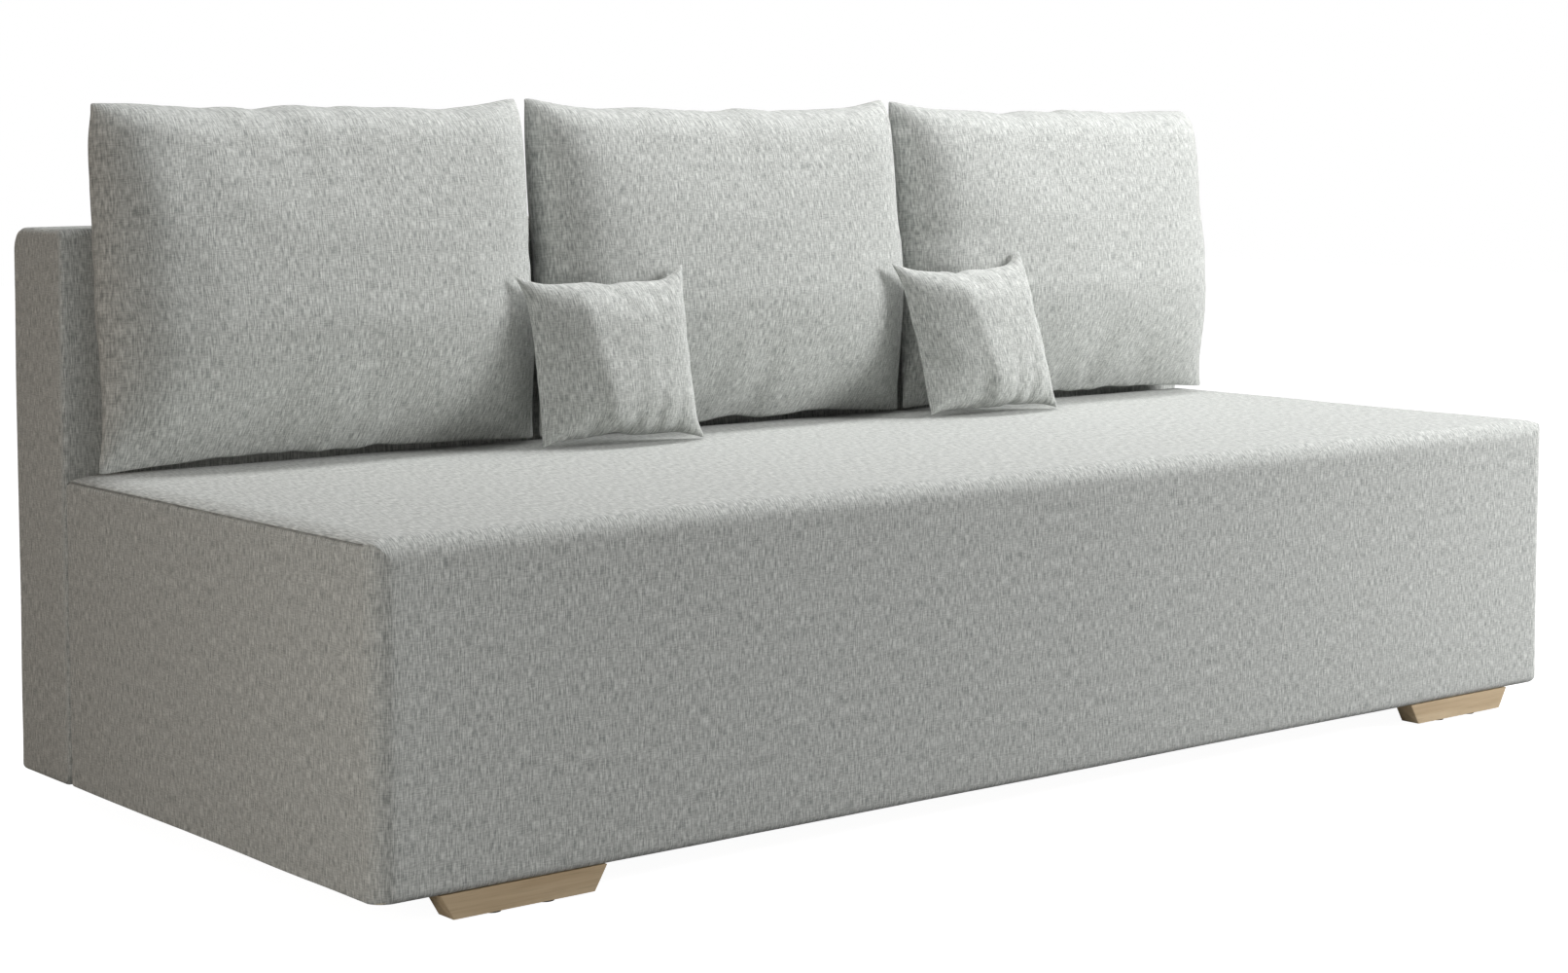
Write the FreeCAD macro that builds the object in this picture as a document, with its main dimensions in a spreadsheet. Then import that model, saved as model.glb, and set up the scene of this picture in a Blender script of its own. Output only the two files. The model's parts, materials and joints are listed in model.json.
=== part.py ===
import FreeCAD, Part
import Sketcher
import math
import os
import re

Vector = FreeCAD.Vector
Placement = FreeCAD.Placement
Rotation = FreeCAD.Rotation

# Armless three-seat sofa that opens into a bed.
# The seat slides forward off a bedding chest, two swing arms carry the low end of the
# back forward and up, and the back lands flat behind the seat.
# Millimetres. X is the width, the front looks along -Y, Z is up.
# The origin is on the floor under the middle of the whole sofa.

SIZES = [
    ("seat_width", 2000, "overall width of seat and back"),
    ("seat_depth", 732, "front face to rear face of the seat"),
    ("seat_height", 413, "height of the seam along the seat's top edges"),
    ("shoulder_rise", 8.2, "how far the padding rises above that seam"),
    ("shoulder_width", 38, "how far in the padding reaches that rise"),
    ("seat_crown", 1.3, "further rise to the middle of the seat"),
    ("seat_edge_radius", 28, "rounding of the front top edge"),
    ("seat_rear_radius", 22, "rounding of the rear top edge"),
    ("seat_hem_radius", 10, "rounding of the front bottom edge"),
    ("seat_corner_radius", 26, "rounding of the front upright corners"),
    ("seat_rear_corner_radius", 0.5, "rounding of the rear upright corners"),
    ("foot_height", 31, "floor to the underside of the seat"),
    ("foot_length", 220, "length of a front foot at its top"),
    ("foot_slant", 17, "how far each foot end leans in at the floor"),
    ("foot_thickness", 30, "front to back size of a foot"),
    ("foot_inset", 79, "seat side to the foot's outer end"),
    ("foot_setback", 4, "seat front to the foot's front face"),
    ("glide_height", 2.5, "felt glide under a foot"),
    ("glide_radius", 11, "radius of a glide"),
    ("glide_offset", 35, "foot centre to each glide"),
    ("foot_screw_offset", 70, "foot centre to each foot screw"),
    ("foot_screw_radius", 3, "shank of a foot screw"),
    ("foot_screw_head_radius", 6, "head radius of a foot screw"),
    ("foot_screw_head_height", 3, "head height of a foot screw"),
    ("foot_screw_recess", 6, "depth of the recess for a foot screw's head"),
    ("foot_screw_bite", 12, "depth of a foot screw's hole in the plinth"),
    ("screw_tip_gap", 1, "end of a screw to the bottom of its hole"),
    ("back_thickness", 138, "front to rear of the back"),
    ("back_height", 696, "bottom to top of the back"),
    ("back_lift", 29, "floor to the underside of the back"),
    ("back_gap", 8, "seat rear face to back front face"),
    ("back_top_radius", 30, "rounding of the rear top edge of the back"),
    ("back_brow_radius", 10, "rounding of the front top edge of the back"),
    ("back_hem_radius", 15, "rounding of the front bottom edge of the back"),
    ("back_edge_radius", 8, "rounding of the other edges of the back"),
    ("cover_thickness", 2, "upholstery fabric with its backing"),
    ("soft_gap", 0.3, "clearance between soft layers"),
    ("side_pad", 9.4, "padding on sides and on the top of the back"),
    ("front_pad", 11.4, "padding on the seat front and the back front"),
    ("hem_width", 28, "fabric turned under the seat"),
    ("board_thickness", 18, "upright boards of seat, back and chest"),
    ("rail_width", 40, "width of the bed frame rails"),
    ("rail_height", 40, "height of the bed frame rails"),
    ("frame_rise", 50, "top of the chest to the underside of the seat's bed frame"),
    ("cross_rail_offset", 310, "sofa centre to each cross rail"),
    ("plinth_depth", 54, "front to back size of the plinth board"),
    ("corner_block_size", 38, "legs of the triangular corner blocks"),
    ("felt_thickness", 3, "felt between springs and foam"),
    ("spring_wire_radius", 2, "radius of the zigzag spring wire"),
    ("spring_swing", 25, "half the width of a zigzag spring"),
    ("spring_bend", 15, "radius of the spring's bends"),
    ("spring_margin", 95.5, "hinge bracket to the middle of the outer springs"),
    ("spring_count", 12, "springs in the seat and in the back"),
    ("spring_lift", 0.2, "spring wire above its rail"),
    ("clip_height", 5, "height of a spring clip"),
    ("clip_length", 16, "length of a spring clip along the wire"),
    ("clip_width", 14, "width of a spring clip across the wire"),
    ("arm_bay", 18, "side bay that a swing arm moves in"),
    ("arm_thickness", 8, "thickness of a swing arm"),
    ("arm_width", 30, "width of a swing arm"),
    ("arm_hub_radius", 18, "radius of the swing arm's two ends"),
    ("pivot_height", 60, "floor to the swing arms' pivot"),
    ("hinge_setback", 20, "back front face to the hinge stud"),
    ("hinge_rise", 20, "underside of the back to the hinge stud"),
    ("hinge_stud_radius", 6, "radius of the hinge stud"),
    ("hinge_stud_head_radius", 9.6, "head radius of the hinge stud"),
    ("hinge_stud_head_height", 2, "head height of the hinge stud"),
    ("running_clearance", 0.05, "radial clearance of the pivots"),
    ("torsion_tube_radius", 10, "outer radius of the tube that joins the arms"),
    ("torsion_tube_wall", 2, "wall of that tube"),
    ("bush_radius", 16, "outer radius of a pivot bush"),
    ("bush_overhang", 14, "bush beyond the pivot plate"),
    ("plate_thickness", 4, "steel plates of the mechanism"),
    ("pivot_plate_width", 100, "width of a pivot plate"),
    ("pivot_plate_drop", 25.7, "underside of a runner rail to the top of a pivot plate"),
    ("plate_screw_radius", 2.5, "shank of the plate screws"),
    ("plate_screw_length", 15, "bite of the plate screws"),
    ("plate_screw_head", 5, "head radius of the plate screws"),
    ("plate_screw_head_height", 2.4, "head height of the plate screws"),
    ("plate_screw_inset", 12, "plate edge to its screws"),
    ("back_frame_depth", 60, "front to rear size of the back's frame"),
    ("back_stile_width", 48, "width of the back's upright stiles"),
    ("back_rail_height", 40, "height of the back's rails"),
    ("bay_height", 125, "height of the arm bays in the back"),
    ("arm_slot_height", 44, "height of the arm slot in the back's front"),
    ("lining_thickness", 1.7, "dark lining on the rear of the back"),
    ("bracket_height", 90, "height of a hinge bracket on its stile"),
    ("bracket_width", 46, "width of a hinge bracket on its stile"),
    ("bracket_hub_radius", 12, "radius of the bracket's arm and of its hub round the stud"),
    ("bracket_setback", 6, "rear of the back's frame to the hinge bracket"),
    ("bracket_screw_inset", 13.5, "hinge bracket's end to its outer screws"),
    ("chest_front_setback", 78, "seat front face to the chest's front face"),
    ("rest_buffer_height", 9.7, "height of a rubber rest buffer"),
    ("opening_drop", 1, "bed frame to the top of the seat's rear opening"),
    ("chest_foot_height", 36, "height of the chest feet"),
    ("chest_foot_radius", 22, "radius of the chest feet"),
    ("chest_foot_inset", 60, "chest side to its outer feet"),
    ("chest_setback", 54, "seat rear face to the chest's rear face"),
    ("chest_floor_thickness", 6, "bottom panel of the chest"),
    ("chest_divider_thickness", 12, "middle divider of the chest"),
    ("batten_height", 40, "height of the battens under the chest floor"),
    ("batten_width", 40, "width of those battens"),
    ("batten_setback", 60, "chest front board to the front batten and its feet"),
    ("middle_batten_offset", 73, "middle batten in front of the chest's middle"),
    ("runner_width", 28, "width of the runner rails"),
    ("runner_height", 22, "height of the runner rails"),
    ("runner_drop", 40, "top of the chest to the top of the runner rails"),
    ("runner_clearance", 2, "runner rail to the arm bay"),
    ("slider_length", 35, "front to back size of a seat slider"),
    ("slider_height", 25, "height of a seat slider"),
    ("slider_setback", 58, "seat rear face to the seat slider"),
    ("slider_clearance", 4, "chest side to the seat slider"),
    ("rest_block_length", 100, "front to back size of a rest block"),
    ("rest_block_height", 35, "height of a rest block"),
    ("rest_block_spacing", 260, "from one rest block to the next"),
    ("rest_block_shift", 41, "rest blocks' middle behind the sofa's middle"),
    ("buffer_radius", 8, "radius of a rubber rest buffer"),
    ("cushion_width", 662, "width of a loose back cushion"),
    ("cushion_height", 468, "height of a loose back cushion along its lean"),
    ("cushion_front", 80, "swell of a back cushion's front"),
    ("cushion_rear", 31, "swell of a back cushion's rear"),
    ("cushion_edge", 8, "thickness of a back cushion at its seam"),
    ("cushion_pitch", 665, "from one back cushion to the next"),
    ("cushion_shift", 4, "middle back cushion right of the sofa's middle"),
    ("cushion_setback", 52, "back cushion's bottom seam before the seat's rear"),
    ("cushion_lean", 5, "lean of the back cushions in degrees"),
    ("cushion_dip", 10, "dip of a back cushion's top seam between its ears"),
    ("cushion_draw", 5, "how far a back cushion's sides draw in"),
    ("pillow_width", 262, "width of a throw pillow"),
    ("pillow_height", 230, "height of a throw pillow along its lean"),
    ("pillow_front", 40, "swell of a throw pillow's front"),
    ("pillow_rear", 18, "swell of a throw pillow's rear"),
    ("pillow_edge", 5, "thickness of a throw pillow at its seam"),
    ("pillow_dip", 10, "dip of a throw pillow's top seam between its ears"),
    ("pillow_draw", 10, "how far a throw pillow's sides draw in"),
    ("pillow_setback", 146, "throw pillow's bottom seam before the seat's rear"),
    ("pillow_lean", 7, "lean of the throw pillows in degrees"),
    ("left_pillow_shift", 265, "left throw pillow left of the sofa's middle"),
    ("right_pillow_shift", 425, "right throw pillow right of the sofa's middle"),
    ("left_pillow_turn", 3.5, "turn of the left throw pillow in degrees"),
    ("left_pillow_slump", 12, "sideways slump of the left throw pillow's top"),
    ("right_pillow_slump", 46, "sideways slump of the right throw pillow's top"),
]

# Places worked out from the sizes, each as a formula over them.
LEVELS = {
    "half_width": "seat_width / 2",
    "rear_y": "(seat_depth + back_gap + back_thickness) / 2",
    "back_front_y": "rear_y - back_thickness",
    "seat_rear_y": "back_front_y - back_gap",
    "front_y": "seat_rear_y - seat_depth",
    "skin": "cover_thickness + soft_gap",
    "side_board_x": "half_width - skin - side_pad - soft_gap",
    "bay_outer_x": "side_board_x - board_thickness",
    "bay_inner_x": "bay_outer_x - arm_bay",
    "runner_outer_x": "bay_inner_x - runner_clearance",
    "chest_outer_x": "runner_outer_x - runner_width",
    "chest_inner_x": "chest_outer_x - board_thickness",
    "arm_inner_x": "(bay_inner_x + bay_outer_x - arm_thickness) / 2",
    "arm_outer_x": "arm_inner_x + arm_thickness",
    "front_board_y": "front_y + skin + front_pad + soft_gap",
    "front_rail_y": "front_board_y + board_thickness",
    "rear_rail_y": "seat_rear_y - skin",
    "seat_base_z": "foot_height + skin",
    "seat_shoulder_z": "seat_height + shoulder_rise",
    "rest_level_z": "seat_height - back_thickness - soft_gap",
    "chest_top_z": "rest_level_z - rest_buffer_height - rest_block_height",
    "runner_level": "chest_top_z - runner_drop",
    "frame_level": "chest_top_z + frame_rise",
    "frame_top_z": "frame_level + rail_height",
    "seat_felt_z": "frame_top_z + clip_height + soft_gap",
    "seat_foam_z": "seat_felt_z + felt_thickness + soft_gap",
    "chest_rear_y": "seat_rear_y - chest_setback",
    "chest_front_y": "front_y + chest_front_setback",
    "chest_floor_z": "chest_foot_height + batten_height",
    "chest_inside_z": "chest_floor_z + chest_floor_thickness",
    "back_top_z": "back_lift + back_height",
    "back_core_z": "back_lift + skin + soft_gap",
    "back_core_top_z": "back_top_z - skin - side_pad - soft_gap",
    "back_bay_z": "back_lift + bay_height",
    "back_frame_rear_y": "rear_y - skin",
    "back_frame_y": "back_frame_rear_y - back_frame_depth",
    "back_felt_y": "back_frame_y - clip_height - soft_gap",
    "back_foam_y": "back_felt_y - felt_thickness - soft_gap",
    "back_pad_y": "back_front_y + skin + front_pad",
    "stile_inner_x": "bay_outer_x - back_stile_width",
    "bracket_inner_x": "bay_inner_x - plate_thickness",
    "spring_spacing": "2 * (bracket_inner_x - spring_margin) / (spring_count - 1)",
    "link_y": "back_front_y + hinge_setback",
    "link_z": "back_lift + hinge_rise",
    "link_run": "back_height - hinge_rise - back_thickness + hinge_setback",
    "link_climb": "seat_height - hinge_setback - link_z",
    "link_mid_rise": "link_z + link_climb / 2 - pivot_height",
    "pivot_y": "link_y - link_run / 2 - link_mid_rise * link_climb / link_run",
    "foot_centre_x": "half_width - foot_inset - foot_length / 2",
    "foot_y": "front_y + foot_setback",
}

doc = FreeCAD.newDocument("armless_sofa")
sheet = doc.addObject("Spreadsheet::Sheet", "Sizes")
for row, (alias, size, meaning) in enumerate(SIZES, start=1):
    sheet.set(f"A{row}", meaning)
    sheet.set(f"B{row}", str(size))
    sheet.setAlias(f"B{row}", alias)
doc.recompute()

# How far a cutting tool runs past the faces it cuts
OVER = 1

WORD = re.compile(r"[a-z_]+")
SIZE_NAMES = {alias for alias, size, meaning in SIZES}


def qualified(formula, own=False):
    """The formula with each name led by the object that holds it."""
    def lead(match):
        name = match.group()
        if name in SIZE_NAMES:
            return "Sizes." + name
        if name in LEVELS and not own:
            return "Levels." + name
        return name
    return WORD.sub(lead, formula)


levels = doc.addObject("App::FeaturePython", "Levels")
for name in LEVELS:
    levels.addProperty("App::PropertyFloat", name)
for name, formula in LEVELS.items():
    levels.setExpression(name, qualified(formula, own=True))
doc.recompute()


def value(name):
    """A size or a worked-out place as a plain number."""
    if name in SIZE_NAMES:
        return float(sheet.get(name))
    return float(levels.getPropertyByName(name))


def number(formula):
    """A formula over the sizes and places as a plain number."""
    return float(sheet.evalExpression(qualified(formula)))


nodes = []


def node(piece):
    """Marks a finished sub-part, whose Label names its file."""
    nodes.append(piece)
    return piece


def bind(piece, prop, formula):
    piece.setExpression(prop, qualified(formula))


def place(piece, corner):
    for axis, formula in zip("xyz", corner):
        bind(piece, f"Placement.Base.{axis}", formula)


def block(name, x, y, z):
    """A box from its low to its high formula on each axis."""
    piece = doc.addObject("Part::Box", name)
    for prop, (low, high) in zip(("Length", "Width", "Height"), (x, y, z)):
        bind(piece, prop, f"({high}) - ({low})")
    place(piece, (x[0], y[0], z[0]))
    return piece


def rod(name, radius, start, length, axis):
    """A cylinder of a radius formula from start along the named axis."""
    piece = doc.addObject("Part::Cylinder", name)
    bind(piece, "Radius", radius)
    bind(piece, "Height", length)
    turns = {"x": Rotation(Vector(0, 1, 0), 90), "z": Rotation()}
    piece.Placement = Placement(Vector(), turns[axis])
    place(piece, start)
    return piece


def group(name, pieces):
    """Separate solids that share one sub-part."""
    piece = doc.addObject("Part::Compound", name)
    piece.Links = pieces
    return piece


def mirrored(name, source):
    """The same piece on the sofa's other side."""
    piece = doc.addObject("Part::Mirroring", name)
    piece.Source = source
    piece.Normal = Vector(1, 0, 0)
    return piece


def pair(name, right):
    """A right-hand piece and its mirror image as one sub-part."""
    return group(name, [right, mirrored(name + "_left", right)])


def cut(name, base, tools):
    piece = doc.addObject("Part::Cut", name)
    piece.Base = base
    piece.Tool = tools[0] if len(tools) == 1 else group(name + "_tools", tools)
    return piece


def within(name, stock, form):
    """The stock trimmed to lie inside a form."""
    piece = doc.addObject("Part::Common", name)
    piece.Base = stock
    piece.Tool = form
    return piece


def feature(name, shape, placement=Placement()):
    """A sub-part whose shape is worked out below from the same sizes."""
    piece = doc.addObject("Part::Feature", name)
    piece.Shape = shape
    piece.Placement = placement
    return piece


def both_ways(limit):
    return f"-({limit})", limit


def around(centre, size):
    return f"({centre}) - ({size}) / 2", f"({centre}) + ({size}) / 2"


# Outlines of lines and arcs

def outline(start, *steps):
    """A closed wire: each step is an end point, or the mid and end points of an arc."""
    edges = []
    here = start
    for step in steps:
        if len(step) == 2:
            edges.append(Part.Arc(here, step[0], step[1]).toShape())
        else:
            edges.append(Part.LineSegment(here, step[0]).toShape())
        here = step[-1]
    if here.distanceToPoint(start) > 1e-6:
        edges.append(Part.LineSegment(here, start).toShape())
    return Part.Wire(edges)


def corner(centre, radius, first, last):
    """The mid and end point of a round corner, from one angle to the other in degrees."""
    points = []
    for angle in ((first + last) / 2, last):
        turn = math.radians(angle)
        points.append((centre[0] + radius * math.cos(turn), centre[1] + radius * math.sin(turn)))
    return points


def on_plane(plane, u, v):
    """A flat point (u, v) set on a side, front or top plane."""
    return {"side": Vector(0, u, v), "front": Vector(u, 0, v), "top": Vector(u, v, 0)}[plane]


def prism(plane, start, steps, low, high):
    """The flat outline on a plane, extruded square to it from low to high."""
    along = {"side": Vector(1, 0, 0), "front": Vector(0, 1, 0), "top": Vector(0, 0, 1)}[plane]
    placed = [[on_plane(plane, *point) for point in step] for step in steps]
    wire = outline(on_plane(plane, *start), *placed)
    wire.translate(along * low)
    return Part.Face(wire).extrude(along * (high - low))


def rounded(plane, low_u, high_u, low_v, high_v, radii, low, high):
    """A rectangle prism, its corners rounded in turn from low u, low v round to low u, high v."""
    a, b, c, d = radii
    steps = [
        [(high_u - b, low_v)],
        corner((high_u - b, low_v + b), b, 270, 360),
        [(high_u, high_v - c)],
        corner((high_u - c, high_v - c), c, 0, 90),
        [(low_u + d, high_v)],
        corner((low_u + d, high_v - d), d, 90, 180),
        [(low_u, low_v + a)],
        corner((low_u + a, low_v + a), a, 180, 270),
    ]
    return prism(plane, (low_u + a, low_v), steps, low, high)


def region(low, high):
    return Part.makeBox(high[0] - low[0], high[1] - low[1], high[2] - low[2], Vector(*low))


# The upholstered seat and back as whole forms, each shrunk by an inset for its layers

def seat_form(inset):
    """The seat block with its crown, its soft shoulders and its round front edges."""
    half = value("half_width") - inset
    front = value("front_y") + inset
    rear = value("seat_rear_y") - inset
    bottom = value("foot_height") + inset
    shoulder = value("seat_shoulder_z") - inset
    top = shoulder + value("seat_crown")
    edge = value("seat_edge_radius") - inset
    back_edge = value("seat_rear_radius") - inset
    hem = value("seat_hem_radius") - inset
    upright = value("seat_corner_radius") - inset
    seam = shoulder - value("shoulder_rise")
    side_steps = [
        [(rear, bottom)],
        [(rear, shoulder - back_edge)],
        corner((rear - back_edge, shoulder - back_edge), back_edge, 0, 90),
        [((front + edge + rear - back_edge) / 2, top), (front + edge, shoulder)],
        corner((front + edge, shoulder - edge), edge, 90, 180),
        [(front, bottom + hem)],
        corner((front + hem, bottom + hem), hem, 180, 270),
    ]
    along = prism("side", (front + hem, bottom), side_steps, -half, half)
    # The shoulder's arc rises from the seam to the crown and peaks just above it, further in.
    peak = top + OVER
    reach = value("shoulder_width") / (1 - math.sqrt(OVER / (peak - seam)))
    sweep = (reach ** 2 + (peak - seam) ** 2) / (2 * (peak - seam))
    half_turn = math.asin(reach / sweep) / 2
    bulge_u = half - reach + sweep * math.sin(half_turn)
    bulge_v = peak - sweep * (1 - math.cos(half_turn))
    front_steps = [
        [(half, bottom)],
        [(half, seam)],
        [(bulge_u, bulge_v), (half - reach, peak)],
        [(reach - half, peak)],
        [(-bulge_u, bulge_v), (-half, seam)],
    ]
    across = prism("front", (-half, bottom), front_steps, front, rear)
    rear_upright = value("seat_rear_corner_radius")
    radii = (upright, upright, rear_upright, rear_upright)
    plan = rounded("top", -half, half, front, rear, radii, bottom, peak)
    return along.common(across).common(plan)


def back_form(inset):
    """The back panel with its round edges."""
    half = value("half_width") - inset
    front = value("back_front_y") + inset
    rear = value("rear_y") - inset
    bottom = value("back_lift") + inset
    top = value("back_top_z") - inset
    hem = value("back_hem_radius") - inset
    brow = value("back_brow_radius") - inset
    crest = value("back_top_radius") - inset
    edge = value("back_edge_radius") - inset
    along = rounded("side", front, rear, bottom, top, (hem, edge, crest, brow), -half, half)
    across = rounded("front", -half, half, bottom, top, (edge, edge, edge, edge), front, rear)
    plan = rounded("top", -half, half, front, rear, (edge, edge, edge, edge), bottom, top)
    return along.common(across).common(plan)


# Loose cushions and pillows: a lens that swells from its seam, drawn in along its edges

# Each share of the half width, and the share of the full swell there
HALF_SWELL = [(0.4, 0.97), (0.76, 0.8), (0.94, 0.4), (1, 0.03)]
SWELL = [(-share, swell) for share, swell in reversed(HALF_SWELL)] + [(0, 1)] + HALF_SWELL


def lens(width, height, front, rear, edge, dip, draw, inset=0):
    """A stuffed cushion that stands on its bottom seam, front towards -Y, thinner by the inset.

    The layers meet in a wedge at the seam, so an inner layer ends three insets short of it.
    """
    seam_inset = 3 * inset
    half = width / 2 - seam_inset
    low = seam_inset
    rim = max(edge / 2 - inset, edge / 8)
    sections = []
    for share, swell in SWELL:
        x = share * half
        high = height - seam_inset - dip * (1 - share ** 4)
        middle = (low + high) / 2
        sections.append(outline(
            Vector(x, -rim, low),
            [Vector(x, -rim - (front - inset) * swell, middle), Vector(x, -rim, high)],
            [Vector(x, rim, high)],
            [Vector(x, rim + (rear - inset) * swell, middle), Vector(x, rim, low)],
        ))
    body = Part.makeLoft(sections, True, False)
    top = height - seam_inset
    sides = [
        [(half, low)],
        [(half - draw, (low + top) / 2), (half, top)],
        [(-half, top)],
        [(draw - half, (low + top) / 2), (-half, low)],
    ]
    return body.common(prism("front", (-half, low), sides, -width, width))


def seat_top(y):
    """Height of the seat's top where a cushion stands, on the crown of its side outline."""
    front = value("front_y") + value("seat_edge_radius")
    rear = value("seat_rear_y") - value("seat_rear_radius")
    share = (y - (front + rear) / 2) / ((rear - front) / 2)
    return value("seat_shoulder_z") + value("seat_crown") * (1 - share ** 2)


def stuffed(name, sizes, x, setback, lean, turn=0, slump=0):
    """A cover shell and its filling, standing on the seat and leaning back."""
    y = value("seat_rear_y") - value(setback)
    tilt = Rotation(Vector(0, 0, 1), -turn).multiply(Rotation(Vector(1, 0, 0), -value(lean)))
    rise = value("soft_gap") + sizes["edge"] / 2 * math.sin(math.radians(value(lean)))
    spot = Placement(Vector(x, y, seat_top(y) + rise), tilt)
    shear = FreeCAD.Matrix()
    shear.A13 = -slump / sizes["height"]
    thickness = value("cover_thickness")
    outer = lens(**sizes)
    cavity = lens(**sizes, inset=thickness)
    filling = lens(**sizes, inset=thickness + value("soft_gap"))
    shell = outer.cut(cavity)
    if slump:
        shell = shell.transformGeometry(shear)
        filling = filling.transformGeometry(shear)
    node(feature(name + "_cover", shell, spot))
    node(feature(name + "_filling", filling, spot))


def zigzag(run):
    """One zigzag spring along +Y on the XY plane, from y 0 to y run, and its first and last bars."""
    swing = value("spring_swing")
    turns = round(run / (2 * value("spring_bend")))
    bend = run / turns / 2
    reach = swing - bend
    edges = []
    for bar in range(turns + 1):
        side = 1 if bar % 2 == 0 else -1
        y = 2 * bend * bar
        start = Vector(-side * reach, y, 0)
        end = Vector(side * reach, y, 0)
        edges.append(Part.LineSegment(start, end).toShape())
        if bar < turns:
            mid = Vector(side * swing, y + bend, 0)
            far = Vector(side * reach, y + 2 * bend, 0)
            edges.append(Part.Arc(end, mid, far).toShape())
    path = Part.Wire(edges)
    circle = Part.makeCircle(value("spring_wire_radius"), Vector(-reach, 0, 0), Vector(1, 0, 0))
    return path.makePipeShell([Part.Wire(circle)], True, False)


def spring_clip():
    """A clip over a spring bar, standing on z 0 below the wire."""
    length = value("clip_length")
    width = value("clip_width")
    wire_z = value("spring_lift") + value("spring_wire_radius")
    hole_radius = value("spring_wire_radius") + value("running_clearance")
    body = Part.makeBox(length, width, value("clip_height"), Vector(-length / 2, -width / 2, 0))
    hole = Part.makeCylinder(hole_radius, length, Vector(-length / 2, 0, wire_z), Vector(1, 0, 0))
    return body.cut(hole)


def spring_rows():
    count = int(value("spring_count"))
    spacing = value("spring_spacing")
    return [(index - (count - 1) / 2) * spacing for index in range(count)]


def screw_shapes(face, spots):
    """Plate screws on both sides: a head on the plate's outer face and a shank towards the middle."""
    length = value("plate_thickness") + value("plate_screw_length") - value("screw_tip_gap")
    head_radius = value("plate_screw_head")
    head_height = value("plate_screw_head_height")
    screws = []
    for y, z in spots:
        for side in (-1, 1):
            start = Vector(side * face, number(y), number(z))
            outward = Vector(side, 0, 0)
            head = Part.makeCylinder(head_radius, head_height, start, outward)
            shank = Part.makeCylinder(value("plate_screw_radius"), length, start, -outward)
            screws.append(head.fuse(shank).removeSplitter())
    return Part.makeCompound(screws)


def screw_holes(name, spots, start, length):
    """Right-hand clearance holes along X for plate screws, each spot a pair of formulas."""
    radius = "plate_screw_radius + running_clearance"
    return [rod(f"{name}_{index}", radius, (start, y, z), length, "x")
            for index, (y, z) in enumerate(spots)]


# Bedding chest: the fixed base inside the hollow seat

pivot_plate_y = around("pivot_y", "pivot_plate_width")
pivot_plate_z = ("chest_foot_height + soft_gap", "runner_level - runner_height - pivot_plate_drop")
pivot_screw_spots = [
    (f"pivot_y + {side} * (pivot_plate_width / 2 - plate_screw_inset)", z)
    for side in (-1, 1)
    for z in (f"{pivot_plate_z[0]} + plate_screw_inset", f"{pivot_plate_z[1]} - plate_screw_inset")
]


def chest_boards():
    inside = both_ways("chest_inner_x")
    height = ("chest_foot_height", "chest_top_z")
    node(block("chest_front_board", inside, ("chest_front_y", "chest_front_y + board_thickness"), height))
    node(block("chest_rear_board", inside, ("chest_rear_y - board_thickness", "chest_rear_y"), height))
    side = block("chest_side_board", ("chest_inner_x", "chest_outer_x"),
                 ("chest_front_y", "chest_rear_y"), height)
    bush_hole = rod("chest_bush_hole", "bush_radius + running_clearance",
                    ("chest_inner_x", "pivot_y", "pivot_height"), "board_thickness", "x")
    holes = screw_holes("chest_screw_hole", pivot_screw_spots, "chest_outer_x - plate_screw_length",
                        "plate_screw_length")
    node(pair("chest_side_boards", cut("chest_side_board_right", side, [bush_hole] + holes)))


def chest_inside():
    inside = both_ways("chest_inner_x")
    between = ("chest_front_y + board_thickness", "chest_rear_y - board_thickness")
    under = ("chest_foot_height", "chest_floor_z")
    node(block("chest_floor", inside, between, ("chest_floor_z", "chest_inside_z")))
    node(block("chest_divider", around("0", "chest_divider_thickness"), between,
               ("chest_inside_z", "chest_top_z")))
    middle = "(chest_front_y + chest_rear_y) / 2 - middle_batten_offset"
    front = between[0] + " + batten_setback"
    node(group("chest_battens", [
        block("front_batten", inside, (front, front + " + batten_width"), under),
        block("middle_batten", inside, around(middle, "batten_width"), under),
        block("rear_batten", inside, (between[1] + " - batten_width", between[1]), under),
    ]))
    columns = ("chest_foot_inset - chest_outer_x", "0", "chest_outer_x - chest_foot_inset")
    rows = {"front": front + " + batten_width / 2", "rear": between[1] + " - batten_width / 2"}
    node(group("chest_feet", [
        rod(f"chest_{end}_foot_{index}", "chest_foot_radius", (x, y, "0"), "chest_foot_height", "z")
        for index, x in enumerate(columns)
        for end, y in rows.items()
    ]))


def chest_runners():
    rail = block("runner_rail", ("chest_outer_x", "runner_outer_x"), ("chest_front_y", "chest_rear_y"),
                 ("runner_level - runner_height", "runner_level"))
    node(pair("runner_rails", rail))
    blocks = []
    buffers = []
    half_block = "board_thickness / 2"
    columns = (f"{half_block} - chest_outer_x", "0", f"chest_outer_x - {half_block}")
    for index, x in enumerate(columns):
        for end, side in (("front", -1), ("rear", 1)):
            y = f"rest_block_shift + {side} * rest_block_spacing / 2"
            blocks.append(block(f"{end}_rest_block_{index}", around(x, "board_thickness"),
                                around(y, "rest_block_length"),
                                ("chest_top_z", "chest_top_z + rest_block_height")))
            buffers.append(rod(f"{end}_buffer_{index}", "buffer_radius",
                               (x, y, "chest_top_z + rest_block_height"),
                               "rest_buffer_height", "z"))
    node(group("rest_blocks", blocks))
    node(group("rest_buffers", buffers))


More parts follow.
